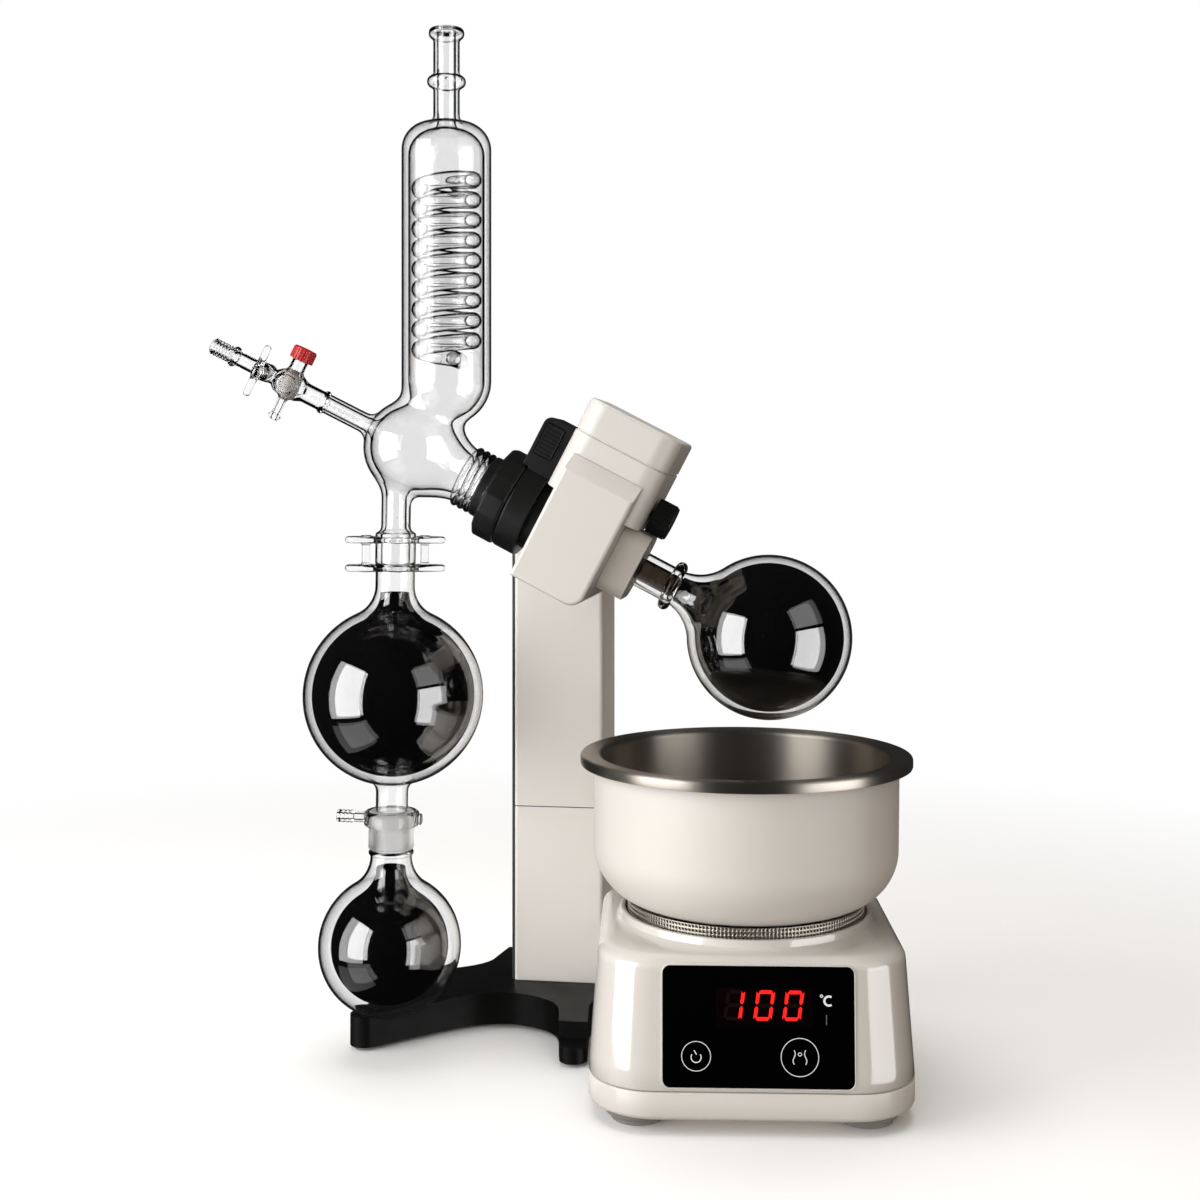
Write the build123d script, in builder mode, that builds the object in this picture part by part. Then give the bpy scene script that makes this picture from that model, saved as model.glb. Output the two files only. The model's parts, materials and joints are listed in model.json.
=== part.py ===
from build123d import *
import os
from math import acos, atan2, cos, degrees, pi, radians, sin, sqrt, tan

# Rotary evaporator: a column stand with a lift, a tilting head with glassware on both
# sides, and a heating bath that stands by itself under the evaporating flask.
# X runs to the right, Y to the back, Z up. The origin lies on the bench, at the middle
# of the whole apparatus. All lengths are in millimetres.

# Main lines
AXIS_X = 12.0  # reference point of the head axis, where the case is carried
GLASS_Y = -46.0  # all the glassware hangs in this upright plane
AXIS_Z = 431.5
AXIS_LEAN = 27.5  # degrees, fall of the head axis towards the bath
RUN_FIT = 0.05  # radial running fit of turning pieces
SOFT_FIT = 0.3  # air between pieces that pass each other
OVERRUN = 1.0  # how far a cut runs past the faces that it opens

# Spindle: the hollow shaft that turns the evaporating flask
SPINDLE_RADIUS = 20.0
SPINDLE_START = -22.0
SPINDLE_END = 62.0
SHOULDER_RADIUS = 23.0
SHOULDER_LENGTH = 7.0
DUCT_RADIUS = 9.0
DUCT_WALL = 1.8
DUCT_START = -74.0
DUCT_END = 118.0
NECK_SOCKET_DEPTH = 24.0  # how far the flask neck stands inside the spindle
COLLET_WALL = 1.4
BEARING_RADIUS = 26.0
BEARING_WIDTH = 7.0

# Gears of the drive
GEAR_MODULE = 1.5
GEAR_TEETH = 50
PINION_TEETH = 20
PRESSURE_ANGLE = 20.0
ROOT_DEPTH = 1.25  # depth of the tooth root below the pitch circle, in modules
GEAR_WIDTH = 10.0
PINION_WIDTH = 12.0
BACKLASH = 0.12
DRIVE_ANGLE = 50.0  # degrees, direction of the motor as seen along the spindle
GEAR_START = 2.0
GEAR_ROOM = 2.5
MOTOR_RADIUS = 18.0
MOTOR_LENGTH = 25.0
MOTOR_FIT = 0.2
MOTOR_SHAFT_RADIUS = 4.0
MOTOR_SHAFT_DEPTH = 12.0

# Gear case, its front cover, the body above it, the cap and the outlet collar
CASE_START = -15.0
CASE_LENGTH = 60.0
CASE_BELOW = 46.0
CASE_ABOVE = 60.0
CASE_AHEAD = 44.0
CASE_BEHIND = 66.0
CASE_SMALL_CORNER = 4.0
CASE_CORNER = 12.0
COVER_DEPTH = 14.0
COVER_SLOPE = 13.0
COVER_EDGE = 3.0
CASE_WALL = 4.0
BODY_START = -25.0
BODY_LENGTH = 81.0
BODY_BELOW = 28.0  # height of the body's underside above the axis
BODY_ABOVE = 77.0
BODY_CORNER = 18.0
BODY_BACK_CORNER = 8.0
CAP_HEIGHT = 28.0
CAP_EDGE = 3.0
SEAM_DEPTH = 1.0
SEAM_HEIGHT = 1.2
COLLAR_LENGTH = 23.0
COLLAR_WIDTH = 55.0
COLLAR_CORNER = 11.0
COLLAR_CLEARANCE = 2.0
GEAR_COVER_THICK = 13.0
NECK_RADIUS = 30.0
NECK_LENGTH = 11.0
RIM_RING_RADIUS = 38.0
RIM_RING_LENGTH = 20.0
SPIGOT_RADIUS = 31.5
SPIGOT_LENGTH = 13.0
NUT_RADIUS = 39.0
NUT_LENGTH = 20.0
NUT_FACETS = 14
NUT_WALL = 5.0
NUT_EDGE = 2.0
SLEEVE_RADIUS = 26.0
SLEEVE_LENGTH = 9.0
LATCH_START = -51.0
LATCH_TOP = 76.0
LATCH_WIDTH = 46.0
LATCH_CORNER = 7.0
TAB_START = -47.0
TAB_LENGTH = 15.0
TAB_LOW = 44.5
TAB_HIGH = 70.5
TAB_DEPTH = 7.0
TAB_TRAVEL = 2.5
TAB_STANDS_OUT = 1.0
TAB_RIBS = 7
TAB_RIB_DEPTH = 0.6
SPRING_RADIUS = 3.2
SPRING_WIRE = 0.5
SPRING_TURNS = 3
KNOB_HEIGHT_ON_FACE = 43.0
KNOB_RADIUS = 13.8
KNOB_LENGTH = 17.0
KNOB_GAP = 2.0
KNOB_RIBS = 24
KNOB_RIB_RADIUS = 0.9
DIAL_SHAFT_RADIUS = 3.0
DIAL_UNIT_RADIUS = 8.0

# Condenser glass
GLASS_WALL = 2.4
JACKET_X = -97.5
JACKET_RADIUS = 36.3
JACKET_RISE = 53.75  # height of the jacket's round foot above the middle of the bulb
JACKET_LENGTH = 209.5
PORT_LENGTH = 76.0
PORT_RADIUS = 10.7
PORT_RIM_RADIUS = 14.5
PORT_RIM_HEIGHT = 10.0
BEAD_RISE = 33.3  # height of the bead above the jacket's roof
BEAD_STANDS_OUT = 5.1
BEAD_HALF_HEIGHT = 5.7
PORT_FLARE = 5.0
BULB_STATION = -142.4
BULB_RADIUS = 39.2
WAIST_RADIUS = 29.5
ARM_RADIUS = 22.7
ARM_END = -40.0
COIL_RADIUS = 22.6
COIL_TUBE_RADIUS = 6.0
COIL_ELBOW_RADIUS = 6.5  # round elbow where the coil turns outward
COIL_PITCH = 16.3
COIL_TURNS = 9
COIL_RISE = 20.0  # height of the coil's first turn above the jacket's foot
HOSE_TAIL_RADIUS = 5.0
HOSE_ROOT_RADIUS = 4.4
HOSE_ROOT_OUT = 1.0
HOSE_TAIL_OUT = 26.0
HOSE_TAIL_BORE = 2.6

# Feed arm with its valve, on the far side of the bulb
FEED_LEAN = 26.6  # degrees
FEED_TUBE_RADIUS = 8.3
FEED_JOINT = 80.0  # stations along the arm, from the middle of the bulb
FEED_JOINT_RADIUS = 9.4
FEED_JOINT_LENGTH = 5.0
FEED_BARREL = 116.0
FEED_BARREL_RADIUS = 14.6
FEED_NARROW_RADIUS = 6.2
FEED_KEY = 139.0
FEED_BEAD = 168.6
FEED_BEAD_RADIUS = 8.8
FEED_BEAD_LENGTH = 5.0
FEED_TIP = 190.0
FEED_TIP_RADIUS = 7.2
FEED_NECK_RADIUS = 6.6
FEED_NECK_TOP = 22.0
FEED_STUB_RADIUS = 3.7
FEED_STUB_BORE = 1.8
FEED_STUB_REACH = 32.0
KEY_BARREL_RADIUS = 7.6
KEY_BARREL_REACH = 13.0
KEY_PLUG_RADIUS = 4.0
KEY_BAR_LENGTH = 45.0
KEY_BAR_RADIUS = 2.9
KEY_BAR_AHEAD = 19.0
FEED_PLUG_RADIUS = 8.5
FEED_PLUG_LENGTH = 17.0
FEED_CAP_RADIUS = 9.4
FEED_CAP_HEIGHT = 10.3
FEED_CAP_RIBS = 24
FEED_CAP_RIB_RADIUS = 0.6

# Stack of glass that hangs under the bulb
STACK_LEAN = 0.86  # degrees, how far the hanging glass is out of plumb
STACK_X = -139.8
STACK_FALL = 67.75  # how far the top of the hanging glass is below the middle of the bulb
STACK_NECK_RADIUS = 11.9
JOINT_RADIUS = 16.7
JOINT_DROP = 27.0
JOINT_FLARE = 5.0
CLIP_DROP = 5.0
CLIP_THICK = 4.8
CLIP_SPACING = 23.0
CLIP_END_RADIUS = 9.0
CLIP_REACH = 32.0
CLIP_HUB_RADIUS = 21.0
CLIP_POST_RADIUS = 3.4
CLIP_ANGLE = 24.0
CLIP_POST_X = 24.0
FLASK_NECK_RADIUS = 15.9
RECEIVER_RADIUS = 73.0
RECEIVER_DROP = 134.4
RECEIVER_SHOULDER = 25.0
FLASK_WALL = 2.5
FILL_GAP = 0.3
OUTLET_RADIUS = 13.0
OUTLET_DROP = 232.0
DRAIN_DROP = 228.5
DRAIN_RADIUS = 23.0
DRAIN_HEIGHT = 13.0
DRAIN_SOCKET_RADIUS = 18.3
CONE_HEIGHT = 31.0
CONE_RADIUS = 18.6
CONE_STEP = 2.0
DRAIN_TAIL_RADIUS = 4.6
DRAIN_TAIL_BORE = 2.2
DRAIN_TAIL_REACH = 46.0
DRAIN_KNOB_REACH = 25.0
LOWER_RADIUS = 57.9
LOWER_CLEARANCE = 33.1  # height of the lower flask above the bench
LOWER_SHOULDER = 28.0
LOWER_NECK_RADIUS = 16.7
RECEIVER_FILL = 94.0  # fill heights above the middle of each ball
LOWER_FILL = 62.0

# Evaporating flask
FLASK_STATION = 184.0
FLASK_RADIUS = 65.0
FLASK_SHOULDER = 30.0
ROTOR_NECK_RADIUS = 14.4
ROTOR_BEAD = 98.0
ROTOR_BEAD_RADIUS = 20.7
ROTOR_BEAD_LENGTH = 9.0
FLASK_FILL = 60.0

# Tilt joint between the head and the carriage
TILT_STATION = 4.0
TILT_ABOVE = 9.0
TILT_PIN_RADIUS = 8.0
TILT_PIN_DEPTH = 13.0
BOSS_RADIUS = 20.0
BOSS_LENGTH = 6.0
BRACKET_RADIUS = 28.0
BRACKET_FOOT = 12.0
BRACKET_HORN_DEPTH = 37.0
BRACKET_SIDE = 6.0

# Column
COLUMN_LEFT = -64.0
COLUMN_WIDTH = 78.0
COLUMN_FRONT = 116.0
COLUMN_DEPTH = 86.0
COLUMN_FOOT_Z = 30.0
COLUMN_SEAM_Z = 183.5
COLUMN_TOP_Z = 414.5
COLUMN_WALL = 3.0
COLUMN_CORNER = 3.0
COLUMN_TOP_CORNER = 4.0
GUIDE_STANDS_OUT = 3.0
GUIDE_DEPTH = 26.0
GUIDE_SETBACK = 4.0
GUIDE_HEIGHT = 378.0
MAST_WIDTH = 44.0
MAST_DEPTH = 22.0
MAST_HEIGHT = 345.0
MAST_WALL = 4.0
LIFT_NEST = 8.0  # how far the lift motor stands inside the mast's groove
LIFT_MOTOR_RADIUS = 17.0
LIFT_MOTOR_HEIGHT = 46.0
LIFT_TUBE_RADIUS = 11.0
LIFT_TUBE_TOP_Z = 330.0
LIFT_ROD_RADIUS = 6.0
LIFT_ROD_Z = 188.0
SHOE_Z = 198.0
SHOE_HEIGHT = 30.0
SHOE_WALL = 8.0  # wall of the shoe in front of the lift tube
SHOE_GAP = 1.0
SHOE_TONGUE = 12.0
INLET_WIDTH = 27.0
INLET_HEIGHT = 20.0
INLET_DEPTH = 22.0
INLET_FLANGE = 3.0
INLET_FLANGE_THICK = 2.5
INLET_SOCKET_DEPTH = 16.0
INLET_WALL = 2.5
INLET_Z = 70.0
BATH_INLET_Z = 64.0
PIN_WIDTH = 2.0
PIN_LENGTH = 12.0
PIN_SPACING = 7.0

# Cast foot
FOOT_HEIGHT = 30.0
FOOT_CLEAR = 3.0
FOOT_TIP_X = -171.0
FOOT_TIP_Y = 19.0
FOOT_TIP_RADIUS = 12.5
FOOT_TIP_HEIGHT = 28.0
FOOT_BACK_Y = 214.0
FOOT_BACK_OUT = 24.0
FOOT_RIGHT_X = 84.0
FOOT_LEG_X = 6.0
FOOT_LEG_Y = 5.0
FOOT_LEG_RADIUS = 11.5
FOOT_SLOPE_DROP = 5.0
FOOT_LEG_DROP = 14.0
FOOT_LEG_STEP = 26.0
TIP_RECESS_RADIUS = 7.0
TIP_RECESS_DEPTH = 2.0
PAD_RADIUS = 9.0

# Heating bath
BATH_GAP = 5.3  # air between the bath's skirt and the front leg of the foot
BATH_ANGLE = 6.0  # degrees
BATH_HALF_WIDTH = 121.0
BATH_TAPER = 7.0  # how much each side draws in towards the top
BATH_CORNER = 48.0
BATH_TOP_CORNER = 44.0
BATH_FOOT_Z = 10.0
BATH_SEAM_Z = 31.5
BATH_TOP_Z = 127.5
BATH_EDGE = 5.5
BATH_WALL = 5.0
BATH_FLOOR = 4.0
SEAT_RADIUS = 99.4
SEAT_HEIGHT = 7.0
SEAT_WALL = 4.5
RING_RADIUS = 94.0
RING_HEIGHT = 10.0
RING_WALL = 2.0
RING_SLOTS = 60
RING_SLOT_WIDTH = 2.4
RING_SLOT_HEIGHT = 3.0
BOWL_RADIUS = 120.0
BOWL_BOTTOM_Z = 137.5
BOWL_CORNER = 34.0
BOWL_WALL = 3.0
RIM_RADIUS = 130.5
RIM_TOP_Z = 255.5
RIM_DROP = 8.5
PAN_RADIUS = 115.0
PAN_WALL = 1.6
PAN_FLOOR_Z = 146.5
PAN_CORNER = 22.0
HEATER_RADIUS = 84.0
PANEL_WIDTH = 137.5
PANEL_HEIGHT = 86.0
PANEL_LOW_Z = 35.0
PANEL_X = 2.8
PANEL_THICK = 3.0
PANEL_CORNER = 5.5
PANEL_STANDS_OUT = 0.6
DISPLAY_WIDTH = 68.0
DISPLAY_HEIGHT = 28.0
DISPLAY_X = 4.0
DISPLAY_Y = 13.6
DISPLAY_DEPTH = 9.0
BATH_PAD_RADIUS = 24.0
BATH_PAD_PLACE = 84.0
BATH_PAD_STEP = 4.0


def leaning(x, z, lean):
    """Upright plane in the glass plane, facing the front, its x axis turned down by lean."""
    origin = (AXIS_X + x, GLASS_Y, z)
    return Plane(origin=origin, x_dir=(cos(radians(lean)), 0, -sin(radians(lean))), z_dir=(0, -1, 0))


def across(u):
    """Plane square to the head axis at a station, its x to the back and its y up."""
    return Plane(origin=HEAD.from_local_coords((u, 0, 0)), x_dir=(0, 1, 0), z_dir=HEAD.x_dir)


def over(v):
    """Plane in line with the head axis at a height above it, its x along it and its y to the back."""
    return Plane(origin=HEAD.from_local_coords((0, v, 0)), x_dir=HEAD.x_dir, z_dir=HEAD.y_dir)


def level(z, x=0.0, y=0.0, turn=0.0):
    """Level plane at a height, placed from the point of the bench under the head axis."""
    x_dir = (cos(radians(turn)), sin(radians(turn)), 0)
    return Plane(origin=(AXIS_X + x, GLASS_Y + y, z), x_dir=x_dir, z_dir=(0, 0, 1))


def crosswise(plane, station, facing=1):
    """Plane square to the x axis of another plane, at a station along it."""
    origin = plane.from_local_coords((station, 0, 0))
    return Plane(origin=origin, x_dir=plane.z_dir * facing, z_dir=plane.x_dir * facing)


def rod(plane, radius, length, bore=0.0, mode=Mode.ADD):
    """A round bar that starts on a plane, or a tube where it has a bore."""
    with BuildSketch(plane) as section:
        Circle(radius)
        if bore > 0:
            Circle(bore, mode=Mode.SUBTRACT)
    extrude(section.sketch, amount=length, mode=mode)


def turned(plane, axis_dir, profile, mode=Mode.ADD):
    """A form turned about a line through the plane's origin from the corners of its half section."""
    with BuildSketch(plane) as section:
        with BuildLine():
            Polyline(*profile, close=True)
        make_face()
    revolve(section.sketch, axis=Axis(plane.origin, axis_dir), mode=mode)


def bead(plane, station, radius, stands_out, half_length, upright=True):
    """A blown bulge round a tube: an arc turned about the tube."""
    with BuildSketch(plane) as section:
        with BuildLine():
            low, high = station - half_length, station + half_length
            if upright:
                ends = ((radius, low), (radius + stands_out, station), (radius, high))
                back = ((0, high), (0, low))
            else:
                ends = ((low, radius), (station, radius + stands_out), (high, radius))
                back = ((high, 0), (low, 0))
            ThreePointArc(*ends)
            Polyline(ends[2], *back, ends[0])
        make_face()
    direction = plane.y_dir if upright else plane.x_dir
    revolve(section.sketch, axis=Axis(plane.origin, direction))


def flask_form(plane, ball, neck, shoulder, top, mode=Mode.ADD):
    """A flask turned about the plane's y axis: ball, hollow shoulder and straight neck."""
    spread = neck + shoulder
    rise = sqrt((ball + shoulder) ** 2 - spread**2)
    seam = (ball * spread / (ball + shoulder), ball * rise / (ball + shoulder))
    middle = pi + atan2(rise, spread) / 2
    hollow = (spread + shoulder * cos(middle), rise + shoulder * sin(middle))
    with BuildSketch(plane) as section:
        with BuildLine():
            ThreePointArc((0, -ball), (ball, 0), seam)
            ThreePointArc(seam, hollow, (neck, rise))
            Polyline((neck, rise), (neck, top), (0, top), (0, -ball))
        make_face()
    revolve(section.sketch, axis=Axis(plane.origin, plane.y_dir), mode=mode)


def involute(base, radius):
    """Polar angle of an involute flank at a radius, from where it leaves the base circle."""
    roll = acos(min(1.0, base / radius))
    return tan(roll) - roll


def gear_face(plane, teeth, first_angle):
    """Face of a spur gear with true involute flanks."""
    pitch = GEAR_MODULE * teeth / 2
    base = pitch * cos(radians(PRESSURE_ANGLE))
    root = pitch - ROOT_DEPTH * GEAR_MODULE
    tip = pitch + GEAR_MODULE
    low = max(base, root)
    half_tooth = (pi * GEAR_MODULE / 2 - BACKLASH / 2) / (2 * pitch)

    def flank(radius, side, tooth):
        turn = side * (half_tooth + involute(base, pitch) - involute(base, radius))
        angle = radians(first_angle) + 2 * pi * tooth / teeth + turn
        return (radius * cos(angle), radius * sin(angle))

    def foot(side, tooth):
        turn = side * (half_tooth + involute(base, pitch) - involute(base, low))
        angle = radians(first_angle) + 2 * pi * tooth / teeth + turn
        return (root * cos(angle), root * sin(angle))

    with BuildSketch(plane) as section:
        with BuildLine():
            for tooth in range(teeth):
                rising = [flank(r, -1, tooth) for r in (low, (low + tip) / 2, tip)]
                falling = [flank(r, 1, tooth) for r in (tip, (low + tip) / 2, low)]
                if low > root:
                    Line(foot(-1, tooth), rising[0])
                ThreePointArc(*rising)
                Line(rising[2], falling[0])
                ThreePointArc(*falling)
                if low > root:
                    Line(falling[2], foot(1, tooth))
                last = foot(1, tooth) if low > root else falling[2]
                following = foot(-1, tooth + 1) if low > root else flank(low, -1, tooth + 1)
                Line(last, following)
        make_face()
    return section.sketch


def save(piece, name):
    """Labels a finished piece and writes it to its own file."""
    piece.part.label = name
    export_step(piece.part, "parts/" + name + ".step")


os.makedirs("parts", exist_ok=True)

HEAD = leaning(0, AXIS_Z, AXIS_LEAN)
HEAD_AXIS = Axis(HEAD.origin, HEAD.x_dir)
BULB = HEAD.from_local_coords((BULB_STATION, 0, 0))
STACK = leaning(STACK_X, BULB.Z - STACK_FALL, STACK_LEAN)
JACKET_FOOT = BULB.Z + JACKET_RISE
JACKET_ROOF = JACKET_FOOT + JACKET_LENGTH
PORT_TOP = JACKET_ROOF + PORT_LENGTH
LOWER_DROP = (STACK.origin.Z - LOWER_CLEARANCE - LOWER_RADIUS) / cos(radians(STACK_LEAN))
FEED = leaning(BULB.X - AXIS_X, BULB.Z, FEED_LEAN)
JACKET = leaning(JACKET_X, 0, 0)
PINION_DISTANCE = GEAR_MODULE * (GEAR_TEETH + PINION_TEETH) / 2
PINION_BACK = PINION_DISTANCE * cos(radians(DRIVE_ANGLE))
PINION_UP = PINION_DISTANCE * sin(radians(DRIVE_ANGLE))
CASE_END = CASE_START + CASE_LENGTH
BODY_END = BODY_START + BODY_LENGTH
GEAR_TIP = GEAR_MODULE * (GEAR_TEETH / 2 + 1)
PINION_TIP = GEAR_MODULE * (PINION_TEETH / 2 + 1)
CHAMBER_END = GEAR_START + PINION_WIDTH + SEAM_HEIGHT
GEAR_COVER_END = CASE_START + GEAR_COVER_THICK
NECK_START = CASE_START - NECK_LENGTH
RIM_RING_START = NECK_START - RIM_RING_LENGTH
SPIGOT_START = RIM_RING_START - SPIGOT_LENGTH
NUT_START = RIM_RING_START - NUT_LENGTH
RIGHT_BEARING = CASE_END - BEARING_WIDTH

tilt_point = HEAD.from_local_coords((TILT_STATION, TILT_ABOVE, -CASE_BEHIND))
tilt_face = Plane(origin=tilt_point, x_dir=(1, 0, 0), z_dir=(0, 1, 0))


def pinion_plane(u):
    """Plane square to the motor shaft at a station, centred on it."""
    origin = HEAD.from_local_coords((u, PINION_UP, -PINION_BACK))
    return Plane(origin=origin, x_dir=(0, 1, 0), z_dir=HEAD.x_dir)


def stack_at(drop):
    """Upright plane on the line of the hanging glass, so far below its top joint."""
    return Plane(origin=STACK.from_local_coords((0, -drop, 0)), x_dir=STACK.x_dir, z_dir=STACK.z_dir)


def stack_level(drop):
    """Plane square to the line of the hanging glass, facing down it."""
    return Plane(origin=STACK.from_local_coords((0, -drop, 0)), x_dir=(0, 1, 0), z_dir=-STACK.y_dir)


# Spindle with its gear, duct and flask
with BuildPart() as spindle:
    shoulder_start = RIGHT_BEARING - RUN_FIT - SHOULDER_LENGTH
    rod(across(SPINDLE_START), SPINDLE_RADIUS, SPINDLE_END - SPINDLE_START)
    rod(across(shoulder_start), SHOULDER_RADIUS, SHOULDER_LENGTH)
    rod(across(SPINDLE_START), DUCT_RADIUS, SPINDLE_END - SPINDLE_START, mode=Mode.SUBTRACT)
    nose_bore = ROTOR_NECK_RADIUS + COLLET_WALL
    rod(across(SPINDLE_END - NECK_SOCKET_DEPTH), nose_bore, NECK_SOCKET_DEPTH, mode=Mode.SUBTRACT)
save(spindle, "spindle")

with BuildPart() as spindle_gear:
    extrude(gear_face(across(GEAR_START), GEAR_TEETH, DRIVE_ANGLE), amount=GEAR_WIDTH)
    rod(across(GEAR_START), SPINDLE_RADIUS, GEAR_WIDTH, mode=Mode.SUBTRACT)
save(spindle_gear, "spindle_gear")

with BuildPart() as neck_collet:
    collet_start = SPINDLE_END - NECK_SOCKET_DEPTH
    rod(across(collet_start), ROTOR_NECK_RADIUS + COLLET_WALL, NECK_SOCKET_DEPTH, ROTOR_NECK_RADIUS)
save(neck_collet, "neck_collet")

with BuildPart() as vapour_duct:
    rod(across(DUCT_START), DUCT_RADIUS, DUCT_END - DUCT_START, DUCT_RADIUS - DUCT_WALL)
save(vapour_duct, "vapour_duct")

flask_centre = HEAD.from_local_coords((FLASK_STATION, 0, 0))
flask_plane = Plane(origin=flask_centre, x_dir=HEAD.y_dir, z_dir=(0, -1, 0))
neck_top = FLASK_STATION - (SPINDLE_END - NECK_SOCKET_DEPTH)
with BuildPart() as evaporating_flask:
    flask_form(flask_plane, FLASK_RADIUS, ROTOR_NECK_RADIUS, FLASK_SHOULDER, neck_top)
    bead_height = ROTOR_BEAD_RADIUS - ROTOR_NECK_RADIUS
    bead(flask_plane, FLASK_STATION - ROTOR_BEAD, ROTOR_NECK_RADIUS, bead_height, ROTOR_BEAD_LENGTH / 2)
    flask_form(
        flask_plane,
        FLASK_RADIUS - FLASK_WALL,
        ROTOR_NECK_RADIUS - FLASK_WALL,
        FLASK_SHOULDER + FLASK_WALL,
        neck_top + OVERRUN,
        mode=Mode.SUBTRACT,
    )
save(evaporating_flask, "evaporating_flask")

fill_inset = FLASK_WALL + FILL_GAP
with BuildPart() as evaporating_contents:
    fill_neck = ROTOR_NECK_RADIUS - fill_inset
    fill_shoulder = FLASK_SHOULDER + fill_inset
    fill_top = FLASK_RADIUS + FLASK_SHOULDER
    flask_form(flask_plane, FLASK_RADIUS - fill_inset, fill_neck, fill_shoulder, fill_top)
    rod(across(FLASK_STATION - FLASK_FILL), FLASK_RADIUS, -FLASK_RADIUS, mode=Mode.SUBTRACT)
    rod(across(DUCT_START), DUCT_RADIUS + FILL_GAP, DUCT_END + FILL_GAP - DUCT_START, mode=Mode.SUBTRACT)
save(evaporating_contents, "evaporating_contents")

# Pinion, cut on the end of the motor shaft
with BuildPart() as motor_pinion:
    pinion_start = DRIVE_ANGLE + 180 + 180 / PINION_TEETH
    extrude(gear_face(pinion_plane(GEAR_START), PINION_TEETH, pinion_start), amount=GEAR_WIDTH)
    rod(pinion_plane(GEAR_START), MOTOR_SHAFT_RADIUS, CHAMBER_END - GEAR_START + MOTOR_SHAFT_DEPTH)
save(motor_pinion, "motor_pinion")

with BuildPart() as drive_motor:
    rod(pinion_plane(CHAMBER_END), MOTOR_RADIUS, MOTOR_LENGTH)
    shaft_bore = MOTOR_SHAFT_RADIUS + RUN_FIT
    rod(pinion_plane(CHAMBER_END), shaft_bore, MOTOR_SHAFT_DEPTH + RUN_FIT, mode=Mode.SUBTRACT)
save(drive_motor, "drive_motor")


# Gear case: a block with a gear chamber that opens to the left, and a seat for each bearing
def case_outline(plane):
    """Side outline of the case, its lower right corner much rounder than the others."""
    with BuildSketch(plane) as outline:
        with BuildLine():
            Polyline(
                (CASE_START, -CASE_BELOW),
                (CASE_END, -CASE_BELOW),
                (CASE_END, CASE_ABOVE),
                (CASE_START, CASE_ABOVE),
                close=True,
            )
        make_face()
        lower_right = outline.vertices().sort_by(Axis.Y)[0:2].sort_by(Axis.X)[-1]
        others = [v for v in outline.vertices() if v != lower_right]
        fillet(lower_right, CASE_CORNER)
        fillet(others, CASE_SMALL_CORNER)
    return outline.sketch


gear_room = GEAR_TIP + GEAR_ROOM
pinion_room = PINION_TIP + GEAR_ROOM


def chamber_face(u, gap=0.0):
    """Outline of the room for both gears: two circles in one skin."""
    with BuildSketch(across(u)) as room:
        Circle(gear_room - gap)
        with Locations((PINION_BACK, PINION_UP)):
            Circle(pinion_room - gap)
        make_hull()
    return room.sketch


with BuildPart() as head_case:
    extrude(case_outline(HEAD.offset(CASE_AHEAD)), amount=-(CASE_AHEAD + CASE_BEHIND))
    extrude(chamber_face(CASE_START), amount=CHAMBER_END - CASE_START, mode=Mode.SUBTRACT)
    rod(pinion_plane(CHAMBER_END), MOTOR_RADIUS + MOTOR_FIT, MOTOR_LENGTH + MOTOR_FIT, mode=Mode.SUBTRACT)
    rod(across(CHAMBER_END), SHOULDER_RADIUS + SOFT_FIT, CASE_END - CHAMBER_END, mode=Mode.SUBTRACT)
    rod(across(RIGHT_BEARING), BEARING_RADIUS, BEARING_WIDTH, mode=Mode.SUBTRACT)
    rod(tilt_face, TILT_PIN_RADIUS, -TILT_PIN_DEPTH, mode=Mode.SUBTRACT)
save(head_case, "head_case")

with BuildPart() as head_front_cover:
    extrude(case_outline(HEAD.offset(CASE_AHEAD)), amount=COVER_DEPTH)
    front_edges = head_front_cover.faces().sort_by(Axis.Y)[0].edges()
    fillet(front_edges, COVER_EDGE)
    with BuildSketch(across(CASE_START - OVERRUN)) as wedge:
        with BuildLine():
            face_y = -(CASE_AHEAD + COVER_DEPTH)
            low = (face_y - OVERRUN, CASE_ABOVE - COVER_SLOPE - OVERRUN)
            high = (face_y + COVER_SLOPE, CASE_ABOVE)
            Polyline(low, high, (high[0], high[1] + OVERRUN), (low[0], high[1] + OVERRUN), close=True)
        make_face()
    extrude(wedge.sketch, amount=CASE_LENGTH + 2 * OVERRUN, mode=Mode.SUBTRACT)
save(head_front_cover, "head_front_cover")

# Gear cover: closes the chamber on the left, holds the left bearing and carries the steel neck
with BuildPart() as gear_cover:
    extrude(chamber_face(CASE_START, RUN_FIT), amount=GEAR_COVER_THICK)
    rod(across(NECK_START), NECK_RADIUS, NECK_LENGTH)
    bearing_start = CASE_START + GEAR_COVER_THICK - BEARING_WIDTH - CASE_WALL
    rod(across(NECK_START), SPINDLE_RADIUS + SOFT_FIT, NECK_LENGTH + GEAR_COVER_THICK, mode=Mode.SUBTRACT)
    rod(across(bearing_start), BEARING_RADIUS, BEARING_WIDTH + CASE_WALL, mode=Mode.SUBTRACT)
    shaft_hole = MOTOR_SHAFT_RADIUS + SOFT_FIT
    rod(pinion_plane(GEAR_COVER_END - CASE_WALL), shaft_hole, CASE_WALL, mode=Mode.SUBTRACT)
save(gear_cover, "gear_cover")

with BuildPart() as spindle_bearings:
    for start in (bearing_start, RIGHT_BEARING):
        rod(across(start), BEARING_RADIUS, BEARING_WIDTH, SPINDLE_RADIUS + RUN_FIT)
save(spindle_bearings, "spindle_bearings")

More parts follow.
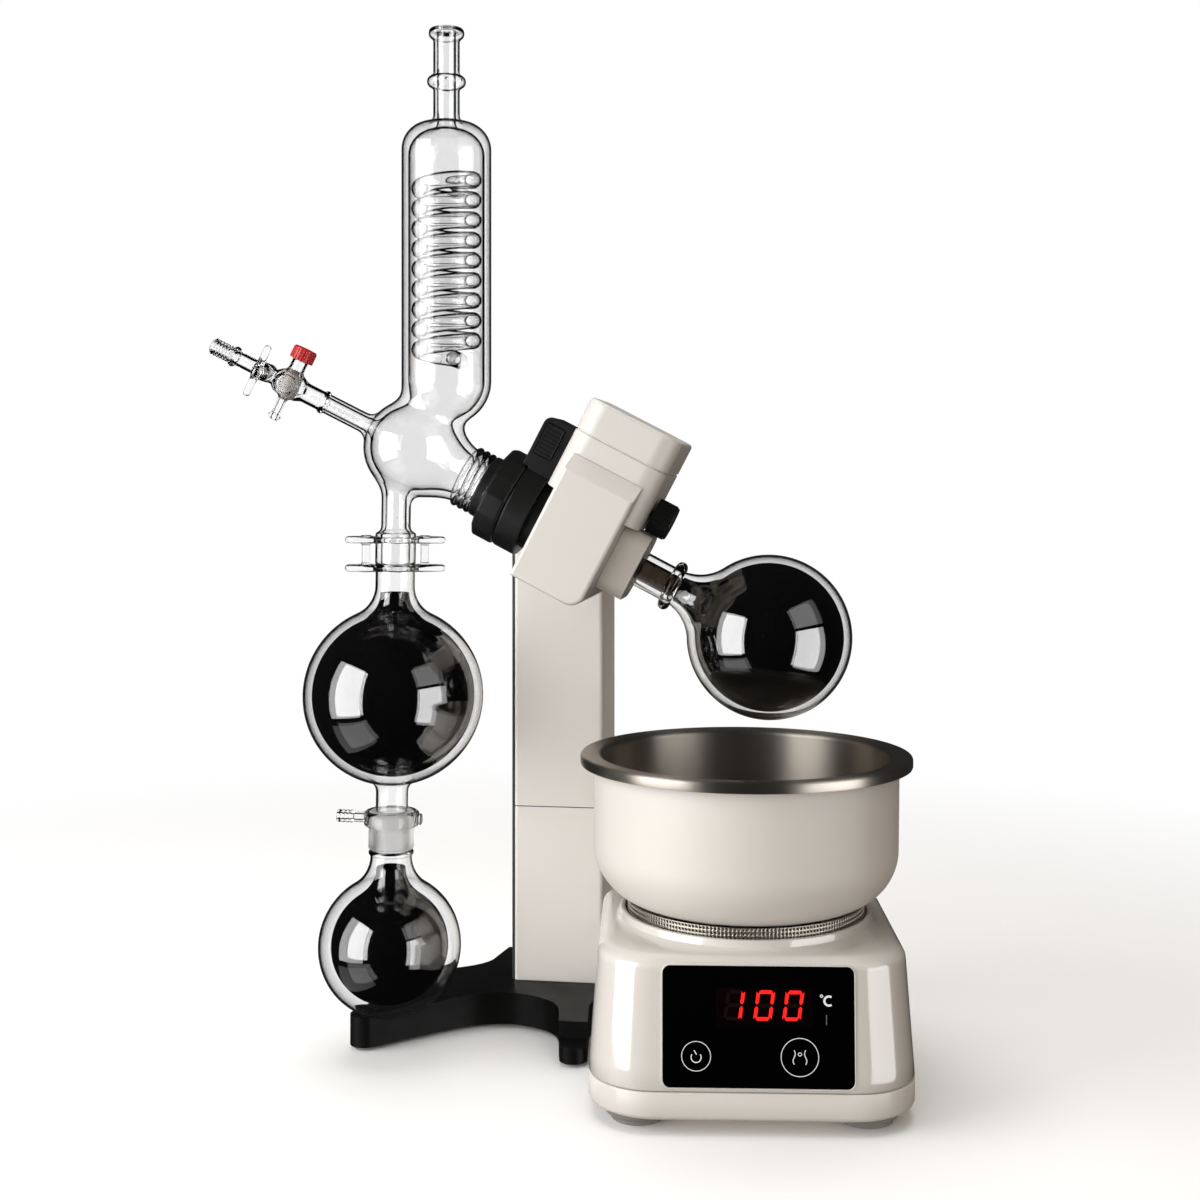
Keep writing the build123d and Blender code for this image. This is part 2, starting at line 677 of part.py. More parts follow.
# Head body: wraps the case from above and behind, with the cap on top of it
with BuildPart() as head_body:
    with BuildSketch(over(BODY_BELOW)) as plan:
        with Locations((BODY_START + BODY_LENGTH / 2, (CASE_BEHIND - CASE_AHEAD) / 2)):
            Rectangle(BODY_LENGTH, CASE_BEHIND + CASE_AHEAD)
        fillet(plan.vertices().group_by(Axis.Y)[0], BODY_CORNER)
        fillet(plan.vertices().group_by(Axis.Y)[-1], BODY_BACK_CORNER)
    extrude(plan.sketch, amount=BODY_ABOVE - BODY_BELOW)
    extrude(case_outline(HEAD.offset(CASE_AHEAD)), amount=-(CASE_AHEAD + CASE_BEHIND), mode=Mode.SUBTRACT)
    dial_plane = Plane(
        origin=HEAD.from_local_coords((CASE_END, KNOB_HEIGHT_ON_FACE, 0)), x_dir=(0, 1, 0), z_dir=HEAD.x_dir
    )
    rod(dial_plane, DIAL_UNIT_RADIUS, BODY_END - CASE_END, mode=Mode.SUBTRACT)
    rod(across(BODY_START), NECK_RADIUS, CASE_START - BODY_START, mode=Mode.SUBTRACT)
save(head_body, "head_body")

with BuildPart() as head_cap:
    with BuildSketch(over(BODY_ABOVE)) as plan:
        with Locations((BODY_START + BODY_LENGTH / 2, (CASE_BEHIND - CASE_AHEAD) / 2)):
            Rectangle(BODY_LENGTH, CASE_BEHIND + CASE_AHEAD)
        fillet(plan.vertices().group_by(Axis.Y)[0], BODY_CORNER)
        fillet(plan.vertices().group_by(Axis.Y)[-1], BODY_BACK_CORNER)
    with BuildSketch(over(BODY_ABOVE)) as seam:
        add(plan.sketch_local)
        offset(amount=-SEAM_DEPTH, kind=Kind.INTERSECTION)
    extrude(seam.sketch, amount=SEAM_HEIGHT)
    extrude(plan.sketch.moved(Location(HEAD.y_dir * SEAM_HEIGHT)), amount=CAP_HEIGHT - SEAM_HEIGHT)
    top = head_cap.faces().sort_by(Axis(HEAD.origin, HEAD.y_dir))[-1]
    fillet(top.edges(), CAP_EDGE)
save(head_cap, "head_cap")

with BuildPart() as outlet_collar:
    with BuildSketch(across(CASE_END)) as section:
        RectangleRounded(COLLAR_WIDTH, COLLAR_WIDTH, COLLAR_CORNER)
        Circle(SPINDLE_RADIUS + COLLAR_CLEARANCE, mode=Mode.SUBTRACT)
    extrude(section.sketch, amount=COLLAR_LENGTH)
save(outlet_collar, "outlet_collar")

with BuildPart() as speed_control:
    rod(dial_plane, DIAL_UNIT_RADIUS, BODY_END - CASE_END)
    rod(dial_plane.offset(CASE_WALL), DIAL_SHAFT_RADIUS + RUN_FIT, BODY_END - CASE_END, mode=Mode.SUBTRACT)
save(speed_control, "speed_control")

with BuildPart() as speed_knob:
    knob_plane = dial_plane.offset(BODY_END - CASE_END + KNOB_GAP)
    rod(knob_plane, KNOB_RADIUS, KNOB_LENGTH)
    fillet(speed_knob.faces().sort_by(HEAD_AXIS)[-1].edges(), KNOB_RIB_RADIUS)
    with BuildSketch(knob_plane) as ribs:
        with PolarLocations(KNOB_RADIUS, KNOB_RIBS):
            Circle(KNOB_RIB_RADIUS)
    extrude(ribs.sketch, amount=KNOB_LENGTH - 2 * KNOB_RIB_RADIUS)
    dial_reach = BODY_END - CASE_END + KNOB_GAP - CASE_WALL
    rod(dial_plane.offset(CASE_WALL + SOFT_FIT), DIAL_SHAFT_RADIUS, dial_reach)
save(speed_knob, "speed_knob")

# Coupling on the condenser side
with BuildPart() as thread_ring:
    rod(across(RIM_RING_START), RIM_RING_RADIUS, RIM_RING_LENGTH)
    rod(across(SPIGOT_START), SPIGOT_RADIUS, SPIGOT_LENGTH)
    rod(across(SPIGOT_START), ARM_RADIUS, ARM_END - SPIGOT_START, mode=Mode.SUBTRACT)
    rod(across(ARM_END), SPINDLE_RADIUS + SOFT_FIT, NECK_START - ARM_END, mode=Mode.SUBTRACT)
    chamfer(thread_ring.faces().filter_by(HEAD_AXIS).edges().group_by(SortBy.RADIUS)[-1], NUT_EDGE / 2)
save(thread_ring, "thread_ring")

with BuildPart() as vacuum_seal:
    seal_length = SPINDLE_START - SOFT_FIT - ARM_END
    rod(across(ARM_END), SPINDLE_RADIUS + SOFT_FIT, seal_length, DUCT_RADIUS + RUN_FIT)
save(vacuum_seal, "vacuum_seal")

with BuildPart() as coupling_nut:
    with BuildSketch(across(NUT_START)) as section:
        RegularPolygon(NUT_RADIUS, NUT_FACETS)
    extrude(section.sketch, amount=NUT_LENGTH - RUN_FIT)
    ends = coupling_nut.faces().filter_by(HEAD_AXIS)
    chamfer(ends.edges(), NUT_EDGE)
    rod(across(NUT_START), SLEEVE_RADIUS + SOFT_FIT, NUT_LENGTH, mode=Mode.SUBTRACT)
    rod(across(NUT_START + NUT_WALL), SPIGOT_RADIUS + SOFT_FIT, NUT_LENGTH, mode=Mode.SUBTRACT)
save(coupling_nut, "coupling_nut")

with BuildPart() as arm_sleeve:
    rod(across(NUT_START - SLEEVE_LENGTH), SLEEVE_RADIUS, SLEEVE_LENGTH + NUT_WALL - SOFT_FIT, ARM_RADIUS)
save(arm_sleeve, "arm_sleeve")

latch_end = BODY_START
with BuildPart() as latch_block:
    with BuildSketch(HEAD.offset(LATCH_WIDTH / 2)) as section:
        with BuildLine():
            Polyline(
                (LATCH_START, 0),
                (latch_end, 0),
                (latch_end, LATCH_TOP),
                (LATCH_START, LATCH_TOP),
                close=True,
            )
        make_face()
        fillet(section.vertices().group_by(Axis.Y)[-1].sort_by(Axis.X)[0], LATCH_CORNER)
    extrude(section.sketch, amount=-LATCH_WIDTH)
    rod(across(LATCH_START), NUT_RADIUS + SOFT_FIT * 2, RIM_RING_START - LATCH_START, mode=Mode.SUBTRACT)
    rod(across(RIM_RING_START), RIM_RING_RADIUS, RIM_RING_LENGTH, mode=Mode.SUBTRACT)
    rod(across(NECK_START), RIM_RING_RADIUS, latch_end - NECK_START, mode=Mode.SUBTRACT)
    tab_room = HEAD.offset(LATCH_WIDTH / 2)
    tab_middle = (TAB_START + TAB_LENGTH / 2, (TAB_LOW + TAB_HIGH) / 2)
    tab_bottom = TAB_DEPTH + TAB_TRAVEL - TAB_STANDS_OUT + 2 * SPRING_RADIUS
    with BuildSketch(tab_room) as pocket:
        with Locations(tab_middle):
            RectangleRounded(TAB_LENGTH + 2 * SOFT_FIT, TAB_HIGH - TAB_LOW + 2 * SOFT_FIT, TAB_RIB_DEPTH * 2)
    extrude(pocket.sketch, amount=-tab_bottom, mode=Mode.SUBTRACT)
save(latch_block, "latch_block")

with BuildPart() as latch_tab:
    with BuildSketch(tab_room.offset(TAB_STANDS_OUT)) as section:
        with Locations(tab_middle):
            RectangleRounded(TAB_LENGTH, TAB_HIGH - TAB_LOW, TAB_RIB_DEPTH)
    extrude(section.sketch, amount=-TAB_DEPTH)
    rib_pitch = (TAB_HIGH - TAB_LOW) / (TAB_RIBS + 1)
    with BuildSketch(tab_room.offset(TAB_STANDS_OUT)) as grooves:
        with Locations(tab_middle):
            with GridLocations(rib_pitch, rib_pitch, 1, TAB_RIBS):
                Rectangle(TAB_LENGTH - 4 * TAB_RIB_DEPTH, rib_pitch / 2)
    extrude(grooves.sketch, amount=-TAB_RIB_DEPTH, mode=Mode.SUBTRACT)
save(latch_tab, "latch_tab")

spring_room = tab_bottom - TAB_DEPTH + TAB_STANDS_OUT
with BuildPart() as latch_spring:
    spring_foot = LATCH_WIDTH / 2 - tab_bottom + SPRING_WIRE + SOFT_FIT
    spring_origin = HEAD.from_local_coords((*tab_middle, spring_foot))
    spring_height = spring_room - TAB_TRAVEL - 2 * SPRING_WIRE - 2 * SOFT_FIT
    coil_radius = SPRING_RADIUS - SPRING_WIRE
    with BuildLine():
        spring_pitch = spring_height / SPRING_TURNS
        turns = Helix(spring_pitch, spring_height, coil_radius, center=spring_origin, direction=(0, -1, 0))
    with BuildSketch(Plane(origin=turns @ 0, z_dir=turns % 0)):
        Circle(SPRING_WIRE)
    sweep(is_frenet=True)
save(latch_spring, "latch_spring")


# Condenser: one blown piece, the same form made twice, outside and inside
def condenser_form(skin, mode):
    """The condenser's surface, drawn in by the skin thickness."""
    port = PORT_RADIUS - skin
    jacket = JACKET_RADIUS - skin
    roof = JACKET_ROOF - skin
    flare = PORT_FLARE + skin
    shoulder = jacket - port - flare
    extra = OVERRUN if skin > 0 else 0
    lift = 1 - sqrt(0.5)
    with BuildSketch(JACKET) as half:
        with BuildLine():
            flare_mid = (port + flare * lift, roof + flare * lift)
            shoulder_mid = (jacket - shoulder * lift, roof - shoulder * lift)
            Line((0, PORT_TOP + extra), (port, PORT_TOP + extra))
            Line((port, PORT_TOP + extra), (port, roof + flare))
            ThreePointArc((port, roof + flare), flare_mid, (port + flare, roof))
            ThreePointArc((jacket - shoulder, roof), shoulder_mid, (jacket, roof - shoulder))
            foot_mid = (jacket * sqrt(0.5), JACKET_FOOT - jacket * sqrt(0.5))
            Line((jacket, roof - shoulder), (jacket, JACKET_FOOT))
            ThreePointArc((jacket, JACKET_FOOT), foot_mid, (0, JACKET_FOOT - jacket))
            Line((0, JACKET_FOOT - jacket), (0, PORT_TOP + extra))
        make_face()
    revolve(half.sketch, axis=Axis(JACKET.origin, JACKET.y_dir), mode=mode)
    waist = Vector(AXIS_X + JACKET_X, GLASS_Y, JACKET_FOOT) - BULB
    rod(Plane(origin=BULB, x_dir=(0, 1, 0), z_dir=waist), WAIST_RADIUS - skin, waist.length, mode=mode)
    with BuildSketch(HEAD) as ball:
        with Locations((BULB_STATION, 0)):
            Circle(BULB_RADIUS - skin)
            Rectangle(2 * BULB_RADIUS, BULB_RADIUS, align=(Align.CENTER, Align.MAX), mode=Mode.SUBTRACT)
    revolve(ball.sketch, axis=HEAD_AXIS, mode=mode)
    rod(across(BULB_STATION), ARM_RADIUS - skin, ARM_END - BULB_STATION + extra, mode=mode)
    rod(crosswise(FEED, 0, -1), FEED_TUBE_RADIUS - skin, FEED_JOINT + extra, mode=mode)
    rod(stack_level(-STACK_FALL), STACK_NECK_RADIUS - skin, STACK_FALL + JOINT_DROP + extra, mode=mode)


coil_foot = JACKET_FOOT + COIL_RISE
tail_heights = (coil_foot, coil_foot + COIL_PITCH * COIL_TURNS)
tail_length = JACKET_RADIUS + HOSE_TAIL_OUT - COIL_RADIUS


def tail_plane(z):
    """Upright plane at the back of the coil, where a hose tail leaves it."""
    return Plane(origin=(AXIS_X + JACKET_X, GLASS_Y + COIL_RADIUS, z), x_dir=(1, 0, 0), z_dir=(0, 1, 0))


with BuildPart() as condenser_body:
    condenser_form(0, Mode.ADD)
    with Locations(Plane(origin=(AXIS_X + JACKET_X, GLASS_Y, PORT_TOP - PORT_RIM_HEIGHT))):
        Cylinder(PORT_RIM_RADIUS, PORT_RIM_HEIGHT, align=(Align.CENTER, Align.CENTER, Align.MIN))
    bead(JACKET, JACKET_ROOF + BEAD_RISE, PORT_RADIUS, BEAD_STANDS_OUT, BEAD_HALF_HEIGHT)
    joint_shape = [
        (0, 0),
        (STACK_NECK_RADIUS, 0),
        (JOINT_RADIUS, -JOINT_FLARE),
        (JOINT_RADIUS, -JOINT_DROP),
        (0, -JOINT_DROP),
    ]
    turned(STACK, STACK.y_dir, joint_shape)
    feed_half = FEED_JOINT_LENGTH / 2
    ring_shape = [
        (-FEED_JOINT, 0),
        (-FEED_JOINT, FEED_JOINT_RADIUS),
        (-FEED_JOINT + feed_half, FEED_JOINT_RADIUS),
        (-FEED_JOINT + FEED_JOINT_LENGTH, FEED_TUBE_RADIUS),
        (-FEED_JOINT + FEED_JOINT_LENGTH, 0),
    ]
    turned(FEED, FEED.x_dir, ring_shape)
    condenser_form(GLASS_WALL, Mode.SUBTRACT)
    for tail_z in tail_heights:
        rod(tail_plane(tail_z), HOSE_ROOT_RADIUS, tail_length, mode=Mode.SUBTRACT)
save(condenser_body, "condenser_body")

with BuildPart() as cooling_coil:
    coil_base = Plane(origin=(AXIS_X + JACKET_X, GLASS_Y, coil_foot), x_dir=(0, 1, 0), z_dir=(0, 0, 1))
    with BuildLine(coil_base):
        winding = Helix(COIL_PITCH, COIL_PITCH * COIL_TURNS, COIL_RADIUS)
    with BuildSketch(Plane(origin=winding @ 0, z_dir=winding % 0)):
        Circle(COIL_TUBE_RADIUS)
    sweep(is_frenet=True)
    for tail_z in tail_heights:
        with Locations(tail_plane(tail_z)):
            Sphere(COIL_ELBOW_RADIUS)
        rod(tail_plane(tail_z), HOSE_ROOT_RADIUS, tail_length)
        tail_end = tail_plane(tail_z).offset(tail_length)
        rod(tail_end, HOSE_TAIL_RADIUS, HOSE_ROOT_OUT - HOSE_TAIL_OUT)
        rod(tail_end, HOSE_TAIL_BORE, -HOSE_TAIL_OUT, mode=Mode.SUBTRACT)
save(cooling_coil, "cooling_coil")

# Feed valve: a glass body with a cross barrel for the key, a neck for the cap and a stub below
feed_left = crosswise(FEED, 0, -1)
key_front = FEED.from_local_coords((-FEED_KEY, 0, KEY_BARREL_REACH))
key_plane = Plane(origin=key_front, x_dir=FEED.x_dir, z_dir=(0, 1, 0))
neck_plane = Plane(origin=FEED.from_local_coords((-FEED_BARREL, 0, 0)), x_dir=(0, 1, 0), z_dir=FEED.y_dir)
with BuildPart() as feed_valve_body:
    rod(feed_left.offset(FEED_JOINT + RUN_FIT), FEED_TUBE_RADIUS, FEED_BARREL - FEED_JOINT)
    with Locations(FEED.from_local_coords((-FEED_BARREL, 0, 0))):
        Sphere(FEED_BARREL_RADIUS)
    rod(feed_left.offset(FEED_BARREL), FEED_NARROW_RADIUS, FEED_BEAD - FEED_BARREL)
    ring_height = FEED_BEAD_RADIUS - FEED_NARROW_RADIUS
    bead(FEED, -FEED_BEAD, FEED_NARROW_RADIUS, ring_height, FEED_BEAD_LENGTH / 2, upright=False)
    rod(feed_left.offset(FEED_BEAD), FEED_TIP_RADIUS, FEED_TIP - FEED_BEAD)
    rod(neck_plane, FEED_NECK_RADIUS, FEED_NECK_TOP)
    rod(neck_plane, FEED_STUB_RADIUS, -FEED_STUB_REACH)
    rod(key_plane, KEY_BARREL_RADIUS, 2 * KEY_BARREL_REACH)
    tube_bore = FEED_TUBE_RADIUS - GLASS_WALL
    rod(feed_left.offset(FEED_JOINT), tube_bore, FEED_BARREL - FEED_JOINT, mode=Mode.SUBTRACT)
    with Locations(FEED.from_local_coords((-FEED_BARREL, 0, 0))):
        Sphere(FEED_BARREL_RADIUS - GLASS_WALL, mode=Mode.SUBTRACT)
    narrow_bore = FEED_NARROW_RADIUS - GLASS_WALL
    rod(feed_left.offset(FEED_BARREL), narrow_bore, FEED_TIP - FEED_BARREL + OVERRUN, mode=Mode.SUBTRACT)
    rod(neck_plane, FEED_NECK_RADIUS - GLASS_WALL, FEED_NECK_TOP + OVERRUN, mode=Mode.SUBTRACT)
    rod(neck_plane, FEED_STUB_BORE, -(FEED_STUB_REACH + OVERRUN), mode=Mode.SUBTRACT)
    rod(key_plane, KEY_PLUG_RADIUS + RUN_FIT, 2 * KEY_BARREL_REACH, mode=Mode.SUBTRACT)
save(feed_valve_body, "feed_valve_body")

with BuildPart() as feed_plug:
    rod(neck_plane.offset(-FEED_PLUG_LENGTH / 2), FEED_PLUG_RADIUS, FEED_PLUG_LENGTH)
save(feed_plug, "feed_plug")

with BuildPart() as feed_key:
    bar_y = KEY_BAR_AHEAD - KEY_BARREL_REACH
    rod(key_plane.offset(-bar_y), KEY_PLUG_RADIUS, bar_y + 2 * KEY_BARREL_REACH)
    bar_origin = FEED.from_local_coords((-FEED_KEY, -KEY_BAR_LENGTH / 2, KEY_BAR_AHEAD))
    rod(Plane(origin=bar_origin, x_dir=FEED.x_dir, z_dir=FEED.y_dir), KEY_BAR_RADIUS, KEY_BAR_LENGTH)
save(feed_key, "feed_key")

with BuildPart() as feed_cap:
    cap_plane = neck_plane.offset(FEED_NECK_TOP + RUN_FIT)
    rod(cap_plane, FEED_CAP_RADIUS, FEED_CAP_HEIGHT)
    fillet(feed_cap.faces().sort_by(Axis(FEED.origin, FEED.y_dir))[-1].edges(), FEED_CAP_RIB_RADIUS)
    with BuildSketch(cap_plane) as ribs:
        with PolarLocations(FEED_CAP_RADIUS, FEED_CAP_RIBS):
            Circle(FEED_CAP_RIB_RADIUS)
    extrude(ribs.sketch, amount=FEED_CAP_HEIGHT - 2 * FEED_CAP_RIB_RADIUS)
save(feed_cap, "feed_cap")


# Clip that holds the receiving flask: two eared plates with posts between them
def clip_face(drop, hole):
    """Outline of one clip plate, with its hub, its two ears and the hole for the neck."""
    plane = stack_level(drop)
    with BuildSketch(plane) as outline:
        Circle(CLIP_HUB_RADIUS)
        with PolarLocations(CLIP_REACH, 2, start_angle=90 - CLIP_ANGLE):
            Circle(CLIP_END_RADIUS)
        make_hull()
        Circle(hole, mode=Mode.SUBTRACT)
    return outline.sketch


with BuildPart() as joint_clip:
    extrude(clip_face(CLIP_DROP, JOINT_RADIUS + SOFT_FIT), amount=CLIP_THICK)
    extrude(clip_face(CLIP_DROP + CLIP_SPACING, JOINT_RADIUS + SOFT_FIT), amount=CLIP_THICK)
    with BuildSketch(stack_level(CLIP_DROP)) as posts:
        with PolarLocations(CLIP_POST_X, 2, start_angle=90 - CLIP_ANGLE):
            Circle(CLIP_POST_RADIUS)
    extrude(posts.sketch, amount=CLIP_SPACING + CLIP_THICK)
save(joint_clip, "joint_clip")

receiver_plane = stack_at(RECEIVER_DROP)
receiver_top = RECEIVER_DROP - JOINT_DROP - SOFT_FIT
with BuildPart() as receiving_flask:
    flask_form(receiver_plane, RECEIVER_RADIUS, FLASK_NECK_RADIUS, RECEIVER_SHOULDER, receiver_top)
    rod(stack_level(RECEIVER_DROP), OUTLET_RADIUS, OUTLET_DROP - RECEIVER_DROP)
    inner = RECEIVER_RADIUS - FLASK_WALL
    inner_neck = FLASK_NECK_RADIUS - FLASK_WALL
    shoulder = RECEIVER_SHOULDER + FLASK_WALL
    flask_form(receiver_plane, inner, inner_neck, shoulder, receiver_top + OVERRUN, mode=Mode.SUBTRACT)
    outlet_bore = OUTLET_RADIUS - FLASK_WALL
    rod(stack_level(RECEIVER_DROP), outlet_bore, OUTLET_DROP - RECEIVER_DROP + OVERRUN, mode=Mode.SUBTRACT)
save(receiving_flask, "receiving_flask")

with BuildPart() as receiver_contents:
    inner = RECEIVER_RADIUS - fill_inset
    inner_neck = FLASK_NECK_RADIUS - fill_inset
    flask_form(receiver_plane, inner, inner_neck, RECEIVER_SHOULDER + fill_inset, RECEIVER_FILL)
save(receiver_contents, "receiver_contents")

with BuildPart() as drain_ring:
    rod(stack_level(DRAIN_DROP), DRAIN_RADIUS, DRAIN_HEIGHT, DRAIN_SOCKET_RADIUS)
    drain_middle = STACK.from_local_coords((0, -DRAIN_DROP - DRAIN_HEIGHT / 2, 0))
    drain_run = (DRAIN_RADIUS + DRAIN_SOCKET_RADIUS) / 2
    for side, reach in ((1, DRAIN_KNOB_REACH), (-1, DRAIN_TAIL_REACH)):
        tail_start = drain_middle + STACK.x_dir * (side * drain_run)
        tail = Plane(origin=tail_start, x_dir=(0, 1, 0), z_dir=STACK.x_dir * side)
        rod(tail, DRAIN_TAIL_RADIUS, reach - drain_run)
    rod(tail, DRAIN_TAIL_BORE, DRAIN_TAIL_REACH, mode=Mode.SUBTRACT)
save(drain_ring, "drain_ring")

with BuildPart() as drain_cone:
    collar_drop = DRAIN_HEIGHT + CONE_STEP
    cone_shape = [
        (OUTLET_RADIUS - FLASK_WALL, 0),
        (DRAIN_SOCKET_RADIUS - RUN_FIT, 0),
        (DRAIN_SOCKET_RADIUS - RUN_FIT, -DRAIN_HEIGHT - CONE_STEP / 2),
        (CONE_RADIUS, -collar_drop),
        (CONE_RADIUS, -CONE_HEIGHT),
        (OUTLET_RADIUS - FLASK_WALL, -CONE_HEIGHT),
    ]
    turned(stack_at(DRAIN_DROP), STACK.y_dir, cone_shape)
    rod(stack_level(DRAIN_DROP), OUTLET_RADIUS, OUTLET_DROP - DRAIN_DROP, mode=Mode.SUBTRACT)
save(drain_cone, "drain_cone")

lower_plane = stack_at(LOWER_DROP)
lower_top = LOWER_DROP - DRAIN_DROP - CONE_HEIGHT - SOFT_FIT
with BuildPart() as lower_flask:
    flask_form(lower_plane, LOWER_RADIUS, LOWER_NECK_RADIUS, LOWER_SHOULDER, lower_top)
    inner = LOWER_RADIUS - FLASK_WALL
    inner_neck = LOWER_NECK_RADIUS - FLASK_WALL
    shoulder = LOWER_SHOULDER + FLASK_WALL
    flask_form(lower_plane, inner, inner_neck, shoulder, lower_top + OVERRUN, mode=Mode.SUBTRACT)
save(lower_flask, "lower_flask")

with BuildPart() as lower_contents:
    inner = LOWER_RADIUS - fill_inset
    inner_neck = LOWER_NECK_RADIUS - fill_inset
    flask_form(lower_plane, inner, inner_neck, LOWER_SHOULDER + fill_inset, LOWER_FILL + LOWER_SHOULDER)
    rod(stack_level(LOWER_DROP - LOWER_FILL), LOWER_RADIUS, -LOWER_RADIUS, mode=Mode.SUBTRACT)
save(lower_contents, "lower_contents")

# Tilt joint: a pin fixed in the case turns in the bracket on top of the column
with BuildPart() as tilt_pin:
    pin_length = TILT_PIN_DEPTH + BOSS_LENGTH + BRACKET_HORN_DEPTH
    rod(tilt_face.offset(-TILT_PIN_DEPTH), TILT_PIN_RADIUS, pin_length)
save(tilt_pin, "tilt_pin")

column_middle = COLUMN_LEFT + COLUMN_WIDTH / 2
column_back = COLUMN_FRONT + COLUMN_DEPTH
mast_front = column_back - INLET_DEPTH - MAST_DEPTH
lift_y = mast_front + LIFT_NEST - LIFT_MOTOR_RADIUS
with BuildPart() as tilt_bracket:
    horn_plane = tilt_face.offset(SOFT_FIT + BOSS_LENGTH)
    drop = tilt_point.Z - COLUMN_TOP_Z
    with BuildSketch(horn_plane) as horn:
        Circle(BRACKET_RADIUS)
        with Locations((0, -drop)):
            Rectangle(2 * BRACKET_RADIUS, BRACKET_FOOT, align=(Align.CENTER, Align.MIN))
        make_hull()
    extrude(horn.sketch, amount=COLUMN_FRONT - CASE_BEHIND - SOFT_FIT - BOSS_LENGTH)
    rod(tilt_face.offset(SOFT_FIT), BOSS_RADIUS, BOSS_LENGTH)
    foot_front = CASE_BEHIND + SOFT_FIT + BOSS_LENGTH
    foot_left = COLUMN_LEFT + BRACKET_SIDE
    foot_right = tilt_point.X - AXIS_X + BRACKET_RADIUS
    with BuildSketch(level(COLUMN_TOP_Z, foot_left, foot_front)) as foot_plate:
        foot_run = (foot_right - foot_left, column_back - COLUMN_CORNER * 2 - foot_front)
        Rectangle(*foot_run, align=(Align.MIN, Align.MIN))
        fillet(foot_plate.vertices(), COLUMN_CORNER)
    extrude(foot_plate.sketch, amount=BRACKET_FOOT)
    rod(tilt_face, TILT_PIN_RADIUS + RUN_FIT, COLUMN_FRONT - CASE_BEHIND + OVERRUN, mode=Mode.SUBTRACT)
save(tilt_bracket, "tilt_bracket")


# Column: two box covers of one section, one above the other
def column_face(z, inset=0.0):
    """Level section of the column, drawn in by an inset."""
    with BuildSketch(level(z, column_middle, COLUMN_FRONT + COLUMN_DEPTH / 2)) as section:
        corner = max(COLUMN_CORNER - inset, COLUMN_CORNER / 3)
        RectangleRounded(COLUMN_WIDTH - 2 * inset, COLUMN_DEPTH - 2 * inset, corner)
    return section.sketch


def inlet_plane_on(x, y, z, turn, rise):
    """Plane on a rear face, its x to the left as seen from behind and its z outward."""
    sideways = (-cos(radians(turn)), -sin(radians(turn)), 0)
    outward = (-sin(radians(turn)) * cos(rise), cos(radians(turn)) * cos(rise), sin(rise))
    return Plane(origin=(AXIS_X + x, GLASS_Y + y, z), x_dir=sideways, z_dir=outward)


def inlet_hole(plane, depth):
    """Opening in a wall for the body of a mains inlet."""
    with BuildSketch(plane.offset(OVERRUN)) as hole:
        Rectangle(INLET_WIDTH, INLET_HEIGHT)
    extrude(hole.sketch, amount=-(depth + OVERRUN), mode=Mode.SUBTRACT)


def mains_inlet(plane):
    """A mains socket with a flange on the wall and three flat pins in its well."""
    with BuildSketch(plane) as flange:
        Rectangle(INLET_WIDTH + 2 * INLET_FLANGE, INLET_HEIGHT + 2 * INLET_FLANGE)
        fillet(flange.vertices(), INLET_FLANGE / 2)
    extrude(flange.sketch, amount=INLET_FLANGE_THICK)
    with BuildSketch(plane) as body:
        Rectangle(INLET_WIDTH, INLET_HEIGHT)
    extrude(body.sketch, amount=-INLET_DEPTH)
    with BuildSketch(plane.offset(INLET_FLANGE_THICK)) as well:
        Rectangle(INLET_WIDTH - 2 * INLET_WALL, INLET_HEIGHT - 2 * INLET_WALL)
    extrude(well.sketch, amount=-(INLET_SOCKET_DEPTH + INLET_FLANGE_THICK), mode=Mode.SUBTRACT)
    with BuildSketch(plane.offset(-INLET_SOCKET_DEPTH)) as pins:
        with Locations((-PIN_SPACING, -PIN_WIDTH), (0, PIN_WIDTH), (PIN_SPACING, -PIN_WIDTH)):
            Rectangle(PIN_WIDTH, 2 * PIN_WIDTH)
    extrude(pins.sketch, amount=PIN_LENGTH)


stand_inlet_plane = inlet_plane_on(column_middle, column_back, INLET_Z, 0, 0)
with BuildPart() as column_lower_cover:
    extrude(column_face(COLUMN_FOOT_Z), amount=COLUMN_SEAM_Z - COLUMN_FOOT_Z)
    lower_height = COLUMN_SEAM_Z - COLUMN_FOOT_Z
    extrude(column_face(COLUMN_FOOT_Z, COLUMN_WALL), amount=lower_height, mode=Mode.SUBTRACT)
    inlet_hole(stand_inlet_plane, COLUMN_WALL)
save(column_lower_cover, "column_lower_cover")

with BuildPart() as column_upper_cover:
    extrude(column_face(COLUMN_SEAM_Z), amount=COLUMN_TOP_Z - COLUMN_SEAM_Z)
    with BuildSketch(leaning(COLUMN_LEFT, COLUMN_TOP_Z, 0)) as top_corner:
        Polygon((0, 0), (COLUMN_TOP_CORNER, 0), (0, -COLUMN_TOP_CORNER), align=None)
    extrude(top_corner.sketch, amount=-column_back - OVERRUN, mode=Mode.SUBTRACT)
    hollow = COLUMN_TOP_Z - COLUMN_WALL - COLUMN_SEAM_Z
    extrude(column_face(COLUMN_SEAM_Z, COLUMN_WALL), amount=hollow, mode=Mode.SUBTRACT)
save(column_upper_cover, "column_upper_cover")

